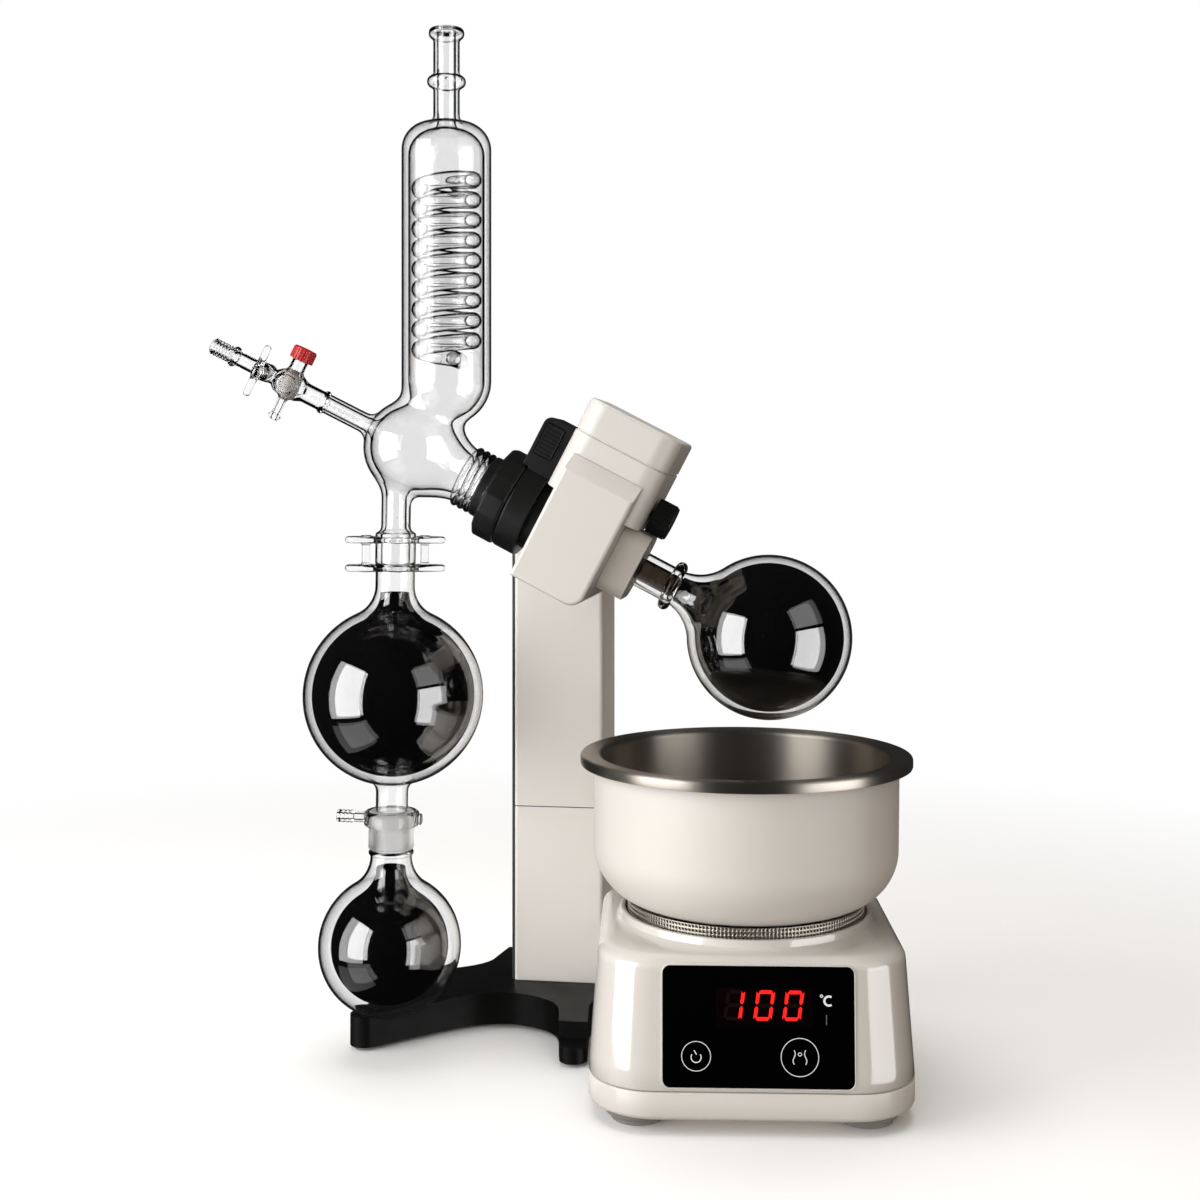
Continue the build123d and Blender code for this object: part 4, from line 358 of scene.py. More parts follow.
def grain_group():
    """Fine relief of moulded, cast and painted skins."""
    tree, start, end = group_of(
        "grain",
        [("Scale", "value", 800.0), ("Depth", "value", 0.1), ("Distance", "value", 0.0002)],
        [("Normal", "vector")],
    )
    noise = object_noise(tree, start, Detail=3)
    depth, distance = start.outputs["Depth"], start.outputs["Distance"]
    bump = add_node(tree, "Bump", {"Height": noise.outputs["Fac"], "Strength": depth, "Distance": distance})
    set_inputs(tree, end, {"Normal": bump.outputs["Normal"]})
    return tree


def brushing_group():
    """Fine lines that run round an upright axis, as on spun and brushed steel."""
    tree, start, end = group_of(
        "brushing",
        [("Axis", "vector", (0, 0, 0)), ("Lines", "value", 900.0), ("Depth", "value", 0.2)],
        [("Normal", "vector")],
    )
    place_in = add_node(tree, "TexCoord")
    offset = add_node(
        tree, "VectorMath", {0: place_in.outputs["Object"], 1: start.outputs["Axis"]}, operation="SUBTRACT"
    )
    parts = add_node(tree, "SeparateXYZ", {0: offset.outputs[0]}).outputs
    turn = add_node(tree, "Math", {0: parts["Y"], 1: parts["X"]}, operation="ARCTAN2")
    run = add_node(tree, "Math", {0: turn.outputs[0], 1: 0.003}, operation="MULTIPLY")
    flat = add_node(tree, "CombineXYZ", {"X": parts["X"], "Y": parts["Y"]})
    spread = add_node(tree, "VectorMath", {0: flat.outputs[0]}, operation="LENGTH")
    lines = add_node(tree, "CombineXYZ", {"X": run.outputs[0], "Y": spread.outputs["Value"], "Z": parts["Z"]})
    noise = add_node(
        tree, "TexNoise", {"Vector": lines.outputs[0], "Scale": start.outputs["Lines"], "Detail": 4}
    )
    bump = add_node(tree, "Bump", {
        "Height": noise.outputs["Fac"], "Strength": start.outputs["Depth"], "Distance": 0.0001,
    })
    set_inputs(tree, end, {"Normal": bump.outputs["Normal"]})
    return tree


MOTTLE = mottle_group()
GRAIN = grain_group()
BRUSHING = brushing_group()


def use_group(tree, group, **values):
    """A group placed in a material, with its own values."""
    node = tree.nodes.new("ShaderNodeGroup")
    node.node_tree = group
    for label, value in values.items():
        node.inputs[label.replace("_", " ")].default_value = value
    return node


def material_of(name):
    """New material, its node tree and its shader."""
    material = bpy.data.materials.new(name)
    material.use_nodes = True
    return material, material.node_tree, material.node_tree.nodes["Principled BSDF"]


def finish_of(name, base, tint, gloss, scale=25.0, amount=0.5, grain=(900.0, 0.08), **shader_values):
    """Opaque finish: mottled colour and gloss with a fine grain."""
    material, tree, shader = material_of(name)
    set_inputs(tree, shader, {label.replace("_", " "): value for label, value in shader_values.items()})
    skin = use_group(
        tree, MOTTLE, Base=(*base, 1), Tint=(*tint, 1), Scale=scale, Amount=amount,
        Gloss_Low=gloss[0], Gloss_High=gloss[1],
    )
    relief = use_group(tree, GRAIN, Scale=grain[0], Depth=grain[1])
    set_inputs(tree, shader, {
        "Base Color": skin.outputs["Colour"], "Roughness": skin.outputs["Roughness"],
        "Normal": relief.outputs["Normal"],
    })
    return material


def brushed_of(name, base, tint, gloss, axis, **shader_values):
    """Metal brushed round an upright axis."""
    material = finish_of(name, base, tint, gloss, amount=0.6, Metallic=1.0, **shader_values)
    tree = material.node_tree
    strokes = use_group(tree, BRUSHING, Axis=tuple(axis), Lines=1500.0, Depth=0.05)
    around = add_node(tree, "Tangent", direction_type="RADIAL", axis="Z")
    set_inputs(tree, tree.nodes["Principled BSDF"], {
        "Normal": strokes.outputs["Normal"], "Tangent": around.outputs[0],
    })
    return material


def glass_of(name, colour, roughness, rim_start=0.82, rim_dark=0.75):
    """Clear or ground glass with painted shade where it is seen edge on, that casts next to no shadow."""
    material, tree, shader = material_of(name)
    skin = use_group(
        tree, MOTTLE, Base=(*colour, 1), Tint=(*(c * 0.985 for c in colour), 1), Scale=40.0, Amount=0.5,
        Gloss_Low=roughness, Gloss_High=roughness + 0.004,
    )
    relief = use_group(tree, GRAIN, Scale=60.0, Depth=0.02)
    # Painted shade: glass seen edge on is mixed towards a dark colour, in place of the dark edges that reflection
    # gives
    edge = add_node(tree, "LayerWeight", {"Blend": 0.5})
    rim = add_node(
        tree, "MapRange",
        {"Value": edge.outputs["Facing"], "From Min": rim_start, "From Max": 1.0, "To Max": rim_dark},
        interpolation_type="SMOOTHSTEP",
    )
    edge_shade_paint = add_node(
        tree, "Mix", {0: rim.outputs["Result"], 6: skin.outputs["Colour"], 7: PAINTED_EDGE_SHADE}, data_type="RGBA"
    )
    path = add_node(tree, "LightPath").outputs
    passing = add_node(tree, "Math", {0: path["Is Shadow Ray"], 1: path["Is Diffuse Ray"]}, operation="MAXIMUM")
    solid = add_node(tree, "MapRange", {"Value": passing.outputs[0], "To Min": 1.0, "To Max": SHADOW_SHARE})
    set_inputs(tree, shader, {
        "Transmission Weight": 1.0, "IOR": GLASS_IOR, "Metallic": 0.0,
        "Base Color": edge_shade_paint.outputs[2], "Roughness": skin.outputs["Roughness"],
        "Normal": relief.outputs["Normal"], "Alpha": solid.outputs["Result"],
    })
    return material


GLASS_IOR = 1.43
# Painted shade on glass seen edge on
PAINTED_EDGE_SHADE = (0.03, 0.032, 0.034, 1)  # glass seen edge on
SHADOW_SHARE = 0.06  # how much of a shadow glass casts
enamel = finish_of(
    "white enamel", (0.68, 0.665, 0.635), (0.62, 0.605, 0.58), (0.3, 0.42), 12.0, 0.5, (1400.0, 0.05),
    Coat_Weight=0.15, Coat_Roughness=0.25,
)
collar_enamel = finish_of("warm grey enamel", (0.58, 0.55, 0.505), (0.52, 0.49, 0.45), (0.32, 0.42))
black_paint = finish_of(
    "black cast paint", (0.004, 0.004, 0.004), (0.008, 0.008, 0.008), (0.28, 0.42), 30.0, 0.6, (700.0, 0.12),
    Specular_IOR_Level=0.08,
)
black_plastic = finish_of(
    "black plastic", (0.006, 0.006, 0.006), (0.011, 0.011, 0.011), (0.3, 0.44), 40.0, 0.5, (1500.0, 0.12),
    Specular_IOR_Level=0.25,
)
panel_glass = finish_of(
    "panel glass", (0.0006, 0.0006, 0.0006), (0.001, 0.001, 0.001), (0.05, 0.1), 18.0, 0.5, (60.0, 0.01),
    Specular_IOR_Level=0.04,
)
# Finish of the real dark strip, also worn by the strips of painted shade in the seams
dark_strip_and_seam_shade = finish_of(
    "dark strip and seam shade", (0.03, 0.03, 0.032), (0.05, 0.05, 0.05), (0.5, 0.6), 30.0, 0.5, (1200.0, 0.2)
)
dark_liquid = finish_of(
    "dark contents", (0.002, 0.002, 0.002), (0.004, 0.004, 0.004), (0.0, 0.02), 30.0, 0.5, (40.0, 0.004),
    IOR=2.1,
)
steel = brushed_of(
    "brushed steel", (0.5, 0.455, 0.4), (0.4, 0.36, 0.315), (0.38, 0.46), BATH,
    Anisotropic=0.88, Anisotropic_Rotation=0.25,
)
turned_steel = finish_of(
    "turned steel", (0.55, 0.54, 0.53), (0.45, 0.44, 0.43), (0.18, 0.3), 60.0, 0.5, (2500.0, 0.15),
    Metallic=1.0,
)
satin_silver = finish_of(
    "satin silver", (0.62, 0.6, 0.58), (0.52, 0.5, 0.48), (0.3, 0.4), 50.0, 0.5, (2000.0, 0.12), Metallic=1.0
)
gear_cream = finish_of("gear plastic", (0.72, 0.69, 0.6), (0.66, 0.63, 0.54), (0.35, 0.45))
seal_white = finish_of("seal plastic", (0.8, 0.8, 0.78), (0.75, 0.75, 0.73), (0.3, 0.4))
red_ribbed = finish_of(
    "red plastic", (0.55, 0.012, 0.01), (0.4, 0.008, 0.008), (0.2, 0.3), 60.0, 0.6, (1500.0, 0.1)
)
grey_plastic = finish_of("grey plastic", (0.38, 0.37, 0.36), (0.32, 0.31, 0.3), (0.35, 0.45))
grey_rubber = finish_of(
    "grey rubber", (0.22, 0.21, 0.2), (0.17, 0.162, 0.155), (0.6, 0.75), 40.0, 0.6, (900.0, 0.3)
)
display_red = finish_of(
    "display window", (0.0025, 0.001, 0.001), (0.004, 0.0015, 0.0015), (0.1, 0.16), 30.0, 0.5, (60.0, 0.01),
    Specular_IOR_Level=0.03,
)
clear_glass = glass_of("clear glass", (1.0, 1.0, 1.0), 0.0)
clear_plastic = glass_of("clear plastic", (0.97, 0.975, 0.975), 0.02)
ground_glass = glass_of("ground glass", (0.8, 0.795, 0.785), 0.5, 0.9, 0.2)
# Painted shade: dark brown glass for the vapour duct, so that the flask's neck shows dark stripes of shade and
# reflection
duct_shade_glass = glass_of("dark brown glass for painted shade", (0.2, 0.17, 0.14), 0.0)
glossy_enamel = finish_of(
    "glossy enamel", (0.72, 0.7, 0.665), (0.68, 0.66, 0.625), (0.2, 0.28), 12.0, 0.5, (1200.0, 0.02),
    Coat_Weight=1.0, Coat_Roughness=0.07, Coat_IOR=1.6,
)
# Painted light: a lighter copy of the white enamel, for the column covers that stand in less light
painted_light_enamel = finish_of(
    "enamel lightened for painted light", (0.87, 0.845, 0.805), (0.82, 0.795, 0.755), (0.3, 0.42), 12.0, 0.5, (1400.0, 0.05)
)
textured_enamel = finish_of(
    "textured enamel", (0.72, 0.7, 0.665), (0.66, 0.64, 0.605), (0.45, 0.55), 12.0, 0.5, (430.0, 0.3)
)

SLOT_FINISH = {
    "white_enamel": enamel,
    "grey_collar": collar_enamel,
    "black_cast": black_paint,
    "black_plastic": black_plastic,
    "black_glass": panel_glass,
    "dark_strip": dark_strip_and_seam_shade,
    "clear_glass": clear_glass,
    "frosted_glass": ground_glass,
    "clear_plastic": clear_plastic,
    "dark_contents": dark_liquid,
    "bright_steel": steel,
    "machined_steel": turned_steel,
    "silver": satin_silver,
    "gear_plastic": gear_cream,
    "seal_plastic": seal_white,
    "red_plastic": red_ribbed,
    "grey_plastic": grey_plastic,
    "grey_rubber": grey_rubber,
    "dark_display": display_red,
}


def dress_nodes():
    """Each CAD node wears the finish of its slot in the record."""
    for part in frame["record"]["subparts"]:
        mesh = NODES[part["node"]].data
        mesh.materials.clear()
        mesh.materials.append(SLOT_FINISH[part["material_slot"]])
    # The vapour duct's dark brown glass is painted shade
    for node, finish in (("gear_cover", black_plastic), ("vapour_duct", duct_shade_glass)):
        NODES[node].data.materials[0] = finish


dress_nodes()


# Condenser: jacket, bulb, arms and necks flow into one another
JACKET_X = -85.5
JACKET_RADIUS = 36.3
JACKET_TOP = 760.5
JACKET_SHOULDER = 22.0
JACKET_LOW = 551.0
PORT_TOP = 836.5
PORT_RADIUS = 10.7
PORT_RIM_RADIUS = 14.5
PORT_BEAD_Z = 793.8
PORT_BEAD_RADIUS = 15.8
BULB_RADIUS = 39.2
ARM_RADIUS = 22.7
ARM_END = -40.0
FEED_TUBE_RADIUS = 8.3
FEED_JOINT = 80.0
STACK_NECK_RADIUS = 11.9
STACK_JOINT_RADIUS = 16.4
STACK_JOINT_LENGTH = 27.0
STACK_TOP = Vector((-127.8, GLASS_Y / MM, 429.5))


def condenser_body(points, inset=0.0):
    """Outside of the condenser, or of its inner skin, whose arms run on past their ends."""
    def slim(radius):
        return radius - inset * min(5.4, 0.28 * radius)

    more = 6.0
    bulb = np.array(BULB / MM)
    jacket_foot = np.array((JACKET_X, GLASS_Y / MM, JACKET_LOW))
    to_top = np.array((0, 0, 1.0))
    radius = slim(JACKET_RADIUS)
    out = np.linalg.norm((points - jacket_foot)[..., :2], axis=-1)
    rise = points[..., 2]
    roof_out = out - radius + JACKET_SHOULDER
    roof_up = rise - JACKET_TOP + JACKET_SHOULDER + (JACKET_RADIUS - radius)
    roof = np.hypot(np.maximum(roof_out, 0), np.maximum(roof_up, 0)) - JACKET_SHOULDER
    roof += np.minimum(np.maximum(roof_out, roof_up), 0)
    foot = np.linalg.norm(points - jacket_foot, axis=-1) - radius
    form = np.where(rise > JACKET_LOW, roof, foot)
    port_end = np.array([JACKET_X, GLASS_Y / MM, PORT_TOP])
    neck = rod_distance(points, jacket_foot + to_top * 150, port_end + to_top * more, slim(PORT_RADIUS))
    form = merged(form, neck, 7)
    if not inset:
        rim = rod_distance(points, port_end - to_top * 7.5, port_end + to_top * 0.6, PORT_RIM_RADIUS, 3.4)
        heart = np.array([JACKET_X, GLASS_Y / MM, PORT_BEAD_Z])
        bead = rod_distance(points, heart - to_top * 4.6, heart + to_top * 4.6, PORT_BEAD_RADIUS, 4.4)
        form = merged(merged(form, rim, 3), bead, 3)
    form = merged(form, ball_distance(points, bulb, slim(BULB_RADIUS)), 15)
    run = np.array(HEAD_RUN)
    arm_end = np.array(HEAD_POINT / MM) + run * (ARM_END + more)
    form = merged(form, rod_distance(points, bulb, arm_end, slim(ARM_RADIUS)), 22)
    feed = np.array(FEED_OUT)
    feed_end = bulb + feed * (FEED_JOINT + more)
    form = merged(form, rod_distance(points, bulb, feed_end, slim(FEED_TUBE_RADIUS)), 9)
    down = np.array(STACK_DOWN)
    top = np.array(STACK_TOP)
    form = merged(form, rod_distance(points, top - down * 60, top + down * 8, slim(STACK_NECK_RADIUS)), 9)
    joint_end = top + down * (STACK_JOINT_LENGTH + more)
    joint = rod_distance(points, top + down * 2, joint_end, slim(STACK_JOINT_RADIUS), 1.5)
    return merged(form, joint, 6)


SKIN = 1.3
CONDENSER_CELL = 1.9  # size of the cells that the skins are meshed in
CUT_REACH = 0.034  # how far from an end its cut goes


def opened(mesh, ends):
    """Mesh cut off square at its ends, each a point and the direction out of it, in millimetres."""
    shell = bmesh.new()
    shell.from_mesh(mesh)
    for point, way in ends:
        point = Vector(point) * MM
        near = [face for face in shell.faces if (face.calc_center_median() - point).length < CUT_REACH]
        parts = dict.fromkeys(near)
        for face in near:
            parts.update(dict.fromkeys([*face.edges, *face.verts]))
        bmesh.ops.bisect_plane(
            shell, geom=list(parts), dist=1e-7, plane_co=point, plane_no=Vector(way), clear_outer=True
        )
    shell.to_mesh(mesh)
    shell.free()
    mesh.shade_smooth()
    return mesh


def condenser():
    """Blown condenser: an outer skin and an inner skin with a gap between them, open at its four ends."""
    bulb = np.array(BULB / MM)
    run, down, feed, up = np.array(HEAD_RUN), np.array(STACK_DOWN), np.array(FEED_OUT), np.array((0, 0, 1.0))
    ends = [
        (np.array([JACKET_X, GLASS_Y / MM, PORT_TOP - 0.1]), up),
        (np.array(HEAD_POINT / MM) + run * ARM_END, run),
        (bulb + feed * FEED_JOINT, feed),
        (np.array(STACK_TOP) + down * STACK_JOINT_LENGTH, down),
    ]
    low = (BULB.x / MM - 82, GLASS_Y / MM - 42, STACK_TOP.z - 38)
    high = (JACKET_X + 66, GLASS_Y / MM + 42, PORT_TOP + 9)
    for name, inset in (("condenser_outer_skin", 0.0), ("condenser_inner_skin", 1.0)):
        mesh = opened(blown(name, lambda p: condenser_body(p, inset), low, high, CONDENSER_CELL), ends)
        if inset:
            thing = beside("condenser_body", name, mesh)
        else:
            thing = stand_for("condenser_body", mesh, name)
        skin = thing.modifiers.new("glass thickness", "SOLIDIFY")
        skin.thickness = SKIN * MM
        skin.offset = -1
    lip = rounded([(7.8, 0, 1.4), (13.2, 0, 1.2), (13.2, 2.6, 1.2), (7.8, 2.6, 1.2)], closed=True)
    mouth = Vector((JACKET_X, GLASS_Y / MM, PORT_TOP - 2.7)) * MM
    beside("condenser_body", "port_lip", lathe("port_lip", lip, mouth, UP, 64, True))


COIL_RADIUS = 21.6
COIL_TUBE = 6.9
COIL_BORE = 5.6
COIL_LOW = 571.0
COIL_PITCH = 16.3
COIL_TURNS = 9


def coil():
    """Hollow glass coil with a hose tail at each end, out at the back."""
    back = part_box("cooling_coil")[1].y
    path = []
    steps = 40
    for step in range(COIL_TURNS * steps + 1):
        turn = pi / 2 + 2 * pi * step / steps
        x, y = JACKET_X + COIL_RADIUS * cos(turn), GLASS_Y / MM + COIL_RADIUS * sin(turn)
        path.append(Vector((x, y, COIL_LOW + COIL_PITCH * step / steps)) * MM)

    def tail(point):
        """Open end of a hose tail, and where the coil bends into it."""
        return [Vector((point.x, back, point.z)), Vector((point.x, point.y + 8 * MM, point.z))]

    bend = 3
    start = eased([*tail(path[0]), path[0], path[bend]])
    end = eased([path[-1 - bend], path[-1], *tail(path[-1])[::-1]])
    whole = start + path[bend + 1 : -1 - bend] + end
    stand_for("cooling_coil", tube("cooling_coil", whole, COIL_TUBE * MM, 20, COIL_BORE * MM), "coil")


def flask_line(ball, neck, shoulder, top):
    """Half outline of a flask, (radius, height) from its lowest point up to the top of its neck."""
    spread = neck + shoulder
    rise = sqrt((ball + shoulder) ** 2 - spread**2)
    seam = atan2(rise, spread)
    line = [
        (ball * cos(turn), ball * sin(turn))
        for turn in np.linspace(-pi / 2, seam, 44)
    ]
    line += [
        (spread - shoulder * cos(turn), rise - shoulder * sin(turn))
        for turn in np.linspace(seam, 0, 14)[1:]
    ]
    return line + [(neck, top)]


BODY_OF = {node: body for body, nodes in frame["record"]["behaviour"]["bodies"].items() for node in nodes}
SLOT_OF = {part["node"]: part["material_slot"] for part in frame["record"]["subparts"]}


def stand_for(node, mesh, name=None, finish=None):
    """Piece that takes the place and the body of one CAD node, and the finish of its slot."""
    slot = SLOT_OF[node]
    return place(name or node + "_shape", mesh, BODY_OF[node], finish or SLOT_FINISH[slot], slot, node)


def beside(node, name, mesh, finish=None):
    """Extra piece that rides with a CAD node and, unless given a finish, wears the finish of its slot."""
    slot = SLOT_OF[node]
    return place(name, mesh, BODY_OF[node], finish or SLOT_FINISH[slot], slot)


def softened(node, width, steps=3, angle=26):
    """Copy of a CAD piece with its sharp edges rounded, in millimetres."""
    mesh = NODES[node].data.copy()
    mesh.materials.clear()
    shell = bmesh.new()
    shell.from_mesh(mesh)
    bmesh.ops.remove_doubles(shell, verts=shell.verts, dist=MM / 50)
    bmesh.ops.dissolve_limit(shell, angle_limit=radians(0.5), verts=shell.verts, edges=shell.edges)
    edges = [edge for edge in shell.edges if edge.is_manifold and edge.calc_face_angle() > radians(angle)]
    bmesh.ops.bevel(
        shell, geom=edges, offset=width * MM, segments=steps, profile=0.5, affect="EDGES", clamp_overlap=True
    )
    shell.to_mesh(mesh)
    shell.free()
    mesh.shade_smooth()
    mesh.set_sharp_from_angle(angle=radians(46))
    # Painted light: the column covers wear the lighter copy of the enamel
    pale = node in ("column_lower_cover", "column_upper_cover")
    thing = stand_for(node, mesh, finish=painted_light_enamel if pale else None)
    even = thing.modifiers.new("even shading", "WEIGHTED_NORMAL")
    even.keep_sharp = True
    return thing


# Enamelled, painted and moulded pieces: their CAD shapes with rounded edges
SOFT_EDGES = {
    "foot": 2.4, "column_lower_cover": 0.9, "column_upper_cover": 0.9, "column_guide": 0.3,
    "tilt_bracket": 1.5, "head_case": 1.2, "head_front_cover": 3.2, "head_body": 2.0, "head_cap": 1.0,
    "outlet_collar": 2.2, "thread_ring": 0.8, "latch_block": 1.6, "latch_tab": 0.3,
    "foot_pads": 0.6, "bath_feet": 0.9, "stand_inlet": 0.3, "bath_inlet": 0.3,
}
for node, width in SOFT_EDGES.items():
    softened(node, width)
softened("coupling_nut", 0.9, 2, 14)


SEAM_TALL = 1.7
SEAM_INSET = 0.2


def seam_shade_strip(name, node, way):
    """Dark strip of painted shade inside the seam at the low end of a cover, from a section of the cover."""
    level = min(vertex.co.dot(way) for vertex in NODES[node].data.vertices)
    shell = bmesh.new()
    shell.from_mesh(NODES[node].data)
    bmesh.ops.remove_doubles(shell, verts=shell.verts, dist=MM / 50)
    bmesh.ops.bisect_plane(
        shell, geom=shell.verts[:] + shell.edges[:] + shell.faces[:], dist=1e-7,
        plane_co=way * (level + 0.6 * MM), plane_no=way, clear_inner=True, clear_outer=True,
    )
    spare = dict.fromkeys(shell.edges)
    loops = []
    while spare:
        edge = spare.popitem()[0]
        loop = [edge.verts[0], edge.verts[1]]
        while True:
            onward = [e for e in loop[-1].link_edges if e in spare]
            if not onward:
                break
            del spare[onward[0]]
            loop.append(onward[0].other_vert(loop[-1]))
        loops.append([vertex.co.copy() for vertex in loop[:-1]])
    ring = max(loops, key=lambda loop: sum((p - q).length for p, q in zip(loop, loop[1:] + loop[:1])))
    shell.free()
    heart = sum(ring, Vector()) / len(ring)
    points = []
    for side in (-SEAM_TALL / 2, SEAM_TALL / 2):
        for point in ring:
            flat = point - way * (point.dot(way) - level)
            inward = heart - way * (heart.dot(way) - level) - flat
            points.append(flat + inward.normalized() * SEAM_INSET * MM + way * side * MM)
    beside(node, name, mesh_of(name, points, grid_faces(2, len(ring))), dark_strip_and_seam_shade)


# Painted shade: dark strips in the seams at the low ends of the head's cap and the column's upper cover stand in
# for the shade inside them
seam_shade_strip("cap_seam_shade", "head_cap", HEAD_RISE)
seam_shade_strip("column_seam_shade", "column_upper_cover", UP)


condenser()
coil()


# Flasks: blown balls with necks, each a closed wall, and the dark contents inside
def ball_line(ball, neck, shoulder, top, foot=None):
    """Half outline of a flask from its lowest point, or its outlet tube, to the top of its neck."""
    line = flask_line(ball, neck, shoulder, top)
    if foot is None:
        return [(0, -ball)] + line[1:]
    tube_radius, reach, flow = foot
    joins = tube_radius + flow
    kept = [(r, s) for r, s in line if r > joins or s > 0]
    seat = -sqrt(ball**2 - joins**2)
    bend = [
        (tube_radius + flow * (1 - cos(turn)), seat - flow + flow * sin(turn))
        for turn in np.linspace(0, pi / 2, 8)
    ]
    return [(tube_radius, -reach)] + bend + kept


WALL = 1.7
LIP = 1.6


def flask_wall(ball, neck, shoulder, top, foot=None):
    """Closed outline of a blown flask: outside, a rolled lip on the neck and the inside."""
    outside = ball_line(ball, neck, shoulder, top - 3 * LIP, foot)
    inner_foot = foot and (foot[0] - WALL, foot[1], foot[2] + WALL)
    inside = ball_line(ball - WALL, neck - WALL, shoulder + WALL, top - 3 * LIP, inner_foot)
    rolled = [
        (neck - WALL / 2 + (WALL / 2 + LIP) * cos(turn), top - 1.5 * LIP + 1.5 * LIP * sin(turn))
        for turn in np.linspace(-pi / 3, pi / 2, 7)
    ]
    rolled += [(neck - WALL, top - LIP)]
    return outside + rolled + inside[::-1]


CLEAR_SHARE = 0.9  # how much of a flask's width its dark contents fill, as seen through the wall


def contents_line(ball, neck, shoulder, top, share=CLEAR_SHARE):
    """Outline of what stands in a flask: a ball that draws up into the neck."""
    inner = ball * share
    line = flask_line(inner, neck, shoulder, top)
    return [(0, -inner)] + line[1:] + [(0, top)]


RECEIVER_DROP = 134.4
RECEIVER_BALL = 73.0
receiver_heart = (STACK_TOP + STACK_DOWN * RECEIVER_DROP) * MM
receiver_line = flask_wall(RECEIVER_BALL, 15.9, 25.0, 107.0, foot=(13.0, 97.4, 9.0))
stand_for("receiving_flask", lathe("receiving_flask", receiver_line, receiver_heart, -STACK_DOWN, 160, True))
receiver_dark = contents_line(RECEIVER_BALL, 11.6, 26.0, 82.5)
stand_for("receiver_contents", lathe("receiver_contents", receiver_dark, receiver_heart, -STACK_DOWN, 128))

LOWER_DROP = 338.6
LOWER_BALL = 57.9
lower_heart = (STACK_TOP + STACK_DOWN * LOWER_DROP) * MM
lower_line = flask_wall(LOWER_BALL, 16.7, 28.0, 78.5)
stand_for("lower_flask", lathe("lower_flask", lower_line, lower_heart, -STACK_DOWN, 144, True))
lower_dark = contents_line(LOWER_BALL, 11.8, 28.0, 55.0, 0.82)
stand_for("lower_contents", lathe("lower_contents", lower_dark, lower_heart, -STACK_DOWN, 128))

FLASK_BALL = 65.0
FLASK_NECK = 14.4
FLASK_NECK_TOP = 146.0
FLASK_BEAD_STATION = 86.0
FLASK_BEAD_RADIUS = 20.7


def with_bead(line, station, radius):
    """Outline with a blown bead let into its straight neck."""
    half = 4.8
    low, high = station - half, station + half
    neck = min(r for r, s in line if s > 0)
    beads = [
        (neck + (radius - neck) * sin(turn) ** 0.8, station - half * cos(turn))
        for turn in np.linspace(0, pi, 13)
    ]
    before = [p for p in line if p[1] < low - 0.5]
    after = [p for p in line if p[1] > high + 0.5]
    return before + beads + after


flask_outside = with_bead(
    ball_line(FLASK_BALL, FLASK_NECK, 34.0, FLASK_NECK_TOP), FLASK_BEAD_STATION, FLASK_BEAD_RADIUS
)
flask_inside = ball_line(FLASK_BALL - WALL, FLASK_NECK - WALL, 34.0 + WALL, FLASK_NECK_TOP)
flask_mesh = lathe("evaporating_flask", flask_outside + flask_inside[::-1], FLASK, -HEAD_RUN, 160, True)
stand_for("evaporating_flask", flask_mesh)
flask_dark = contents_line(FLASK_BALL, 10.4, 32.0, 77.0)
stand_for("evaporating_contents", lathe("evaporating_contents", flask_dark, FLASK, -HEAD_RUN, 128))


# Drain: clear ring with a hose tail and a stop knob, and the ground cone under it
DRAIN_DROP = 228.5
DRAIN_AHEAD = Vector((cos(STACK_LEAN), 0, -sin(STACK_LEAN)))


def barbed(radius, reach, root):
    """Outline of a hose tail with shallow barbs near its open end."""
    barbs, step = 4, 3.4
    line = [(radius, root)]
    start = reach - barbs * step
    for barb in range(barbs):
        foot = start + barb * step
        line += [(radius, foot), (radius + 0.9, foot + step * 0.3), (radius + 0.2, foot + step * 0.9)]
    return line + [(radius * 0.8, reach), (radius * 0.45, reach), (radius * 0.45, root)]


def drain():
    """Ring, tail, knob and cone between the two hanging flasks."""
    heart = (STACK_TOP + STACK_DOWN * DRAIN_DROP) * MM
    ring = rounded([(18.4, 0, 1.2), (22.6, 0, 3.4), (22.6, 12.6, 3.4), (18.4, 12.6, 1.2)], closed=True)
    stand_for("drain_ring", lathe("drain_ring", ring, heart, STACK_DOWN, 96, True))
    side = heart + STACK_DOWN * 6.3 * MM
    tail = lathe("drain_tail", barbed(4.4, 45.8, 18.6), side, -DRAIN_AHEAD, 40, True)
    beside("drain_ring", "drain_tail", tail)
    knob = [(0, 18.8), (3.6, 18.8), (3.6, 23.2), (4.6, 23.8), (4.6, 24.6), (3.9, 25), (0, 25)]
    beside("drain_ring", "drain_knob", lathe("drain_knob", knob, side, DRAIN_AHEAD, 40))
    cone = rounded(
        [(10.8, 0.2), (17.6, 0.2, 1), (18.0, 13.6, 0.8), (18.6, 15.4, 1), (18.5, 30.8, 1.4), (10.8, 30.8, 1)],
        closed=True,
    )
    stand_for("drain_cone", lathe("drain_cone", cone, heart, STACK_DOWN, 96, True))


drain()


# Clip between the condenser and the receiving flask: two eared plates of clear plastic on two posts
CLIP_ANGLE = radians(24)
CLIP_DROPS = (5.0, 28.0)
CLIP_THICK = 5.4


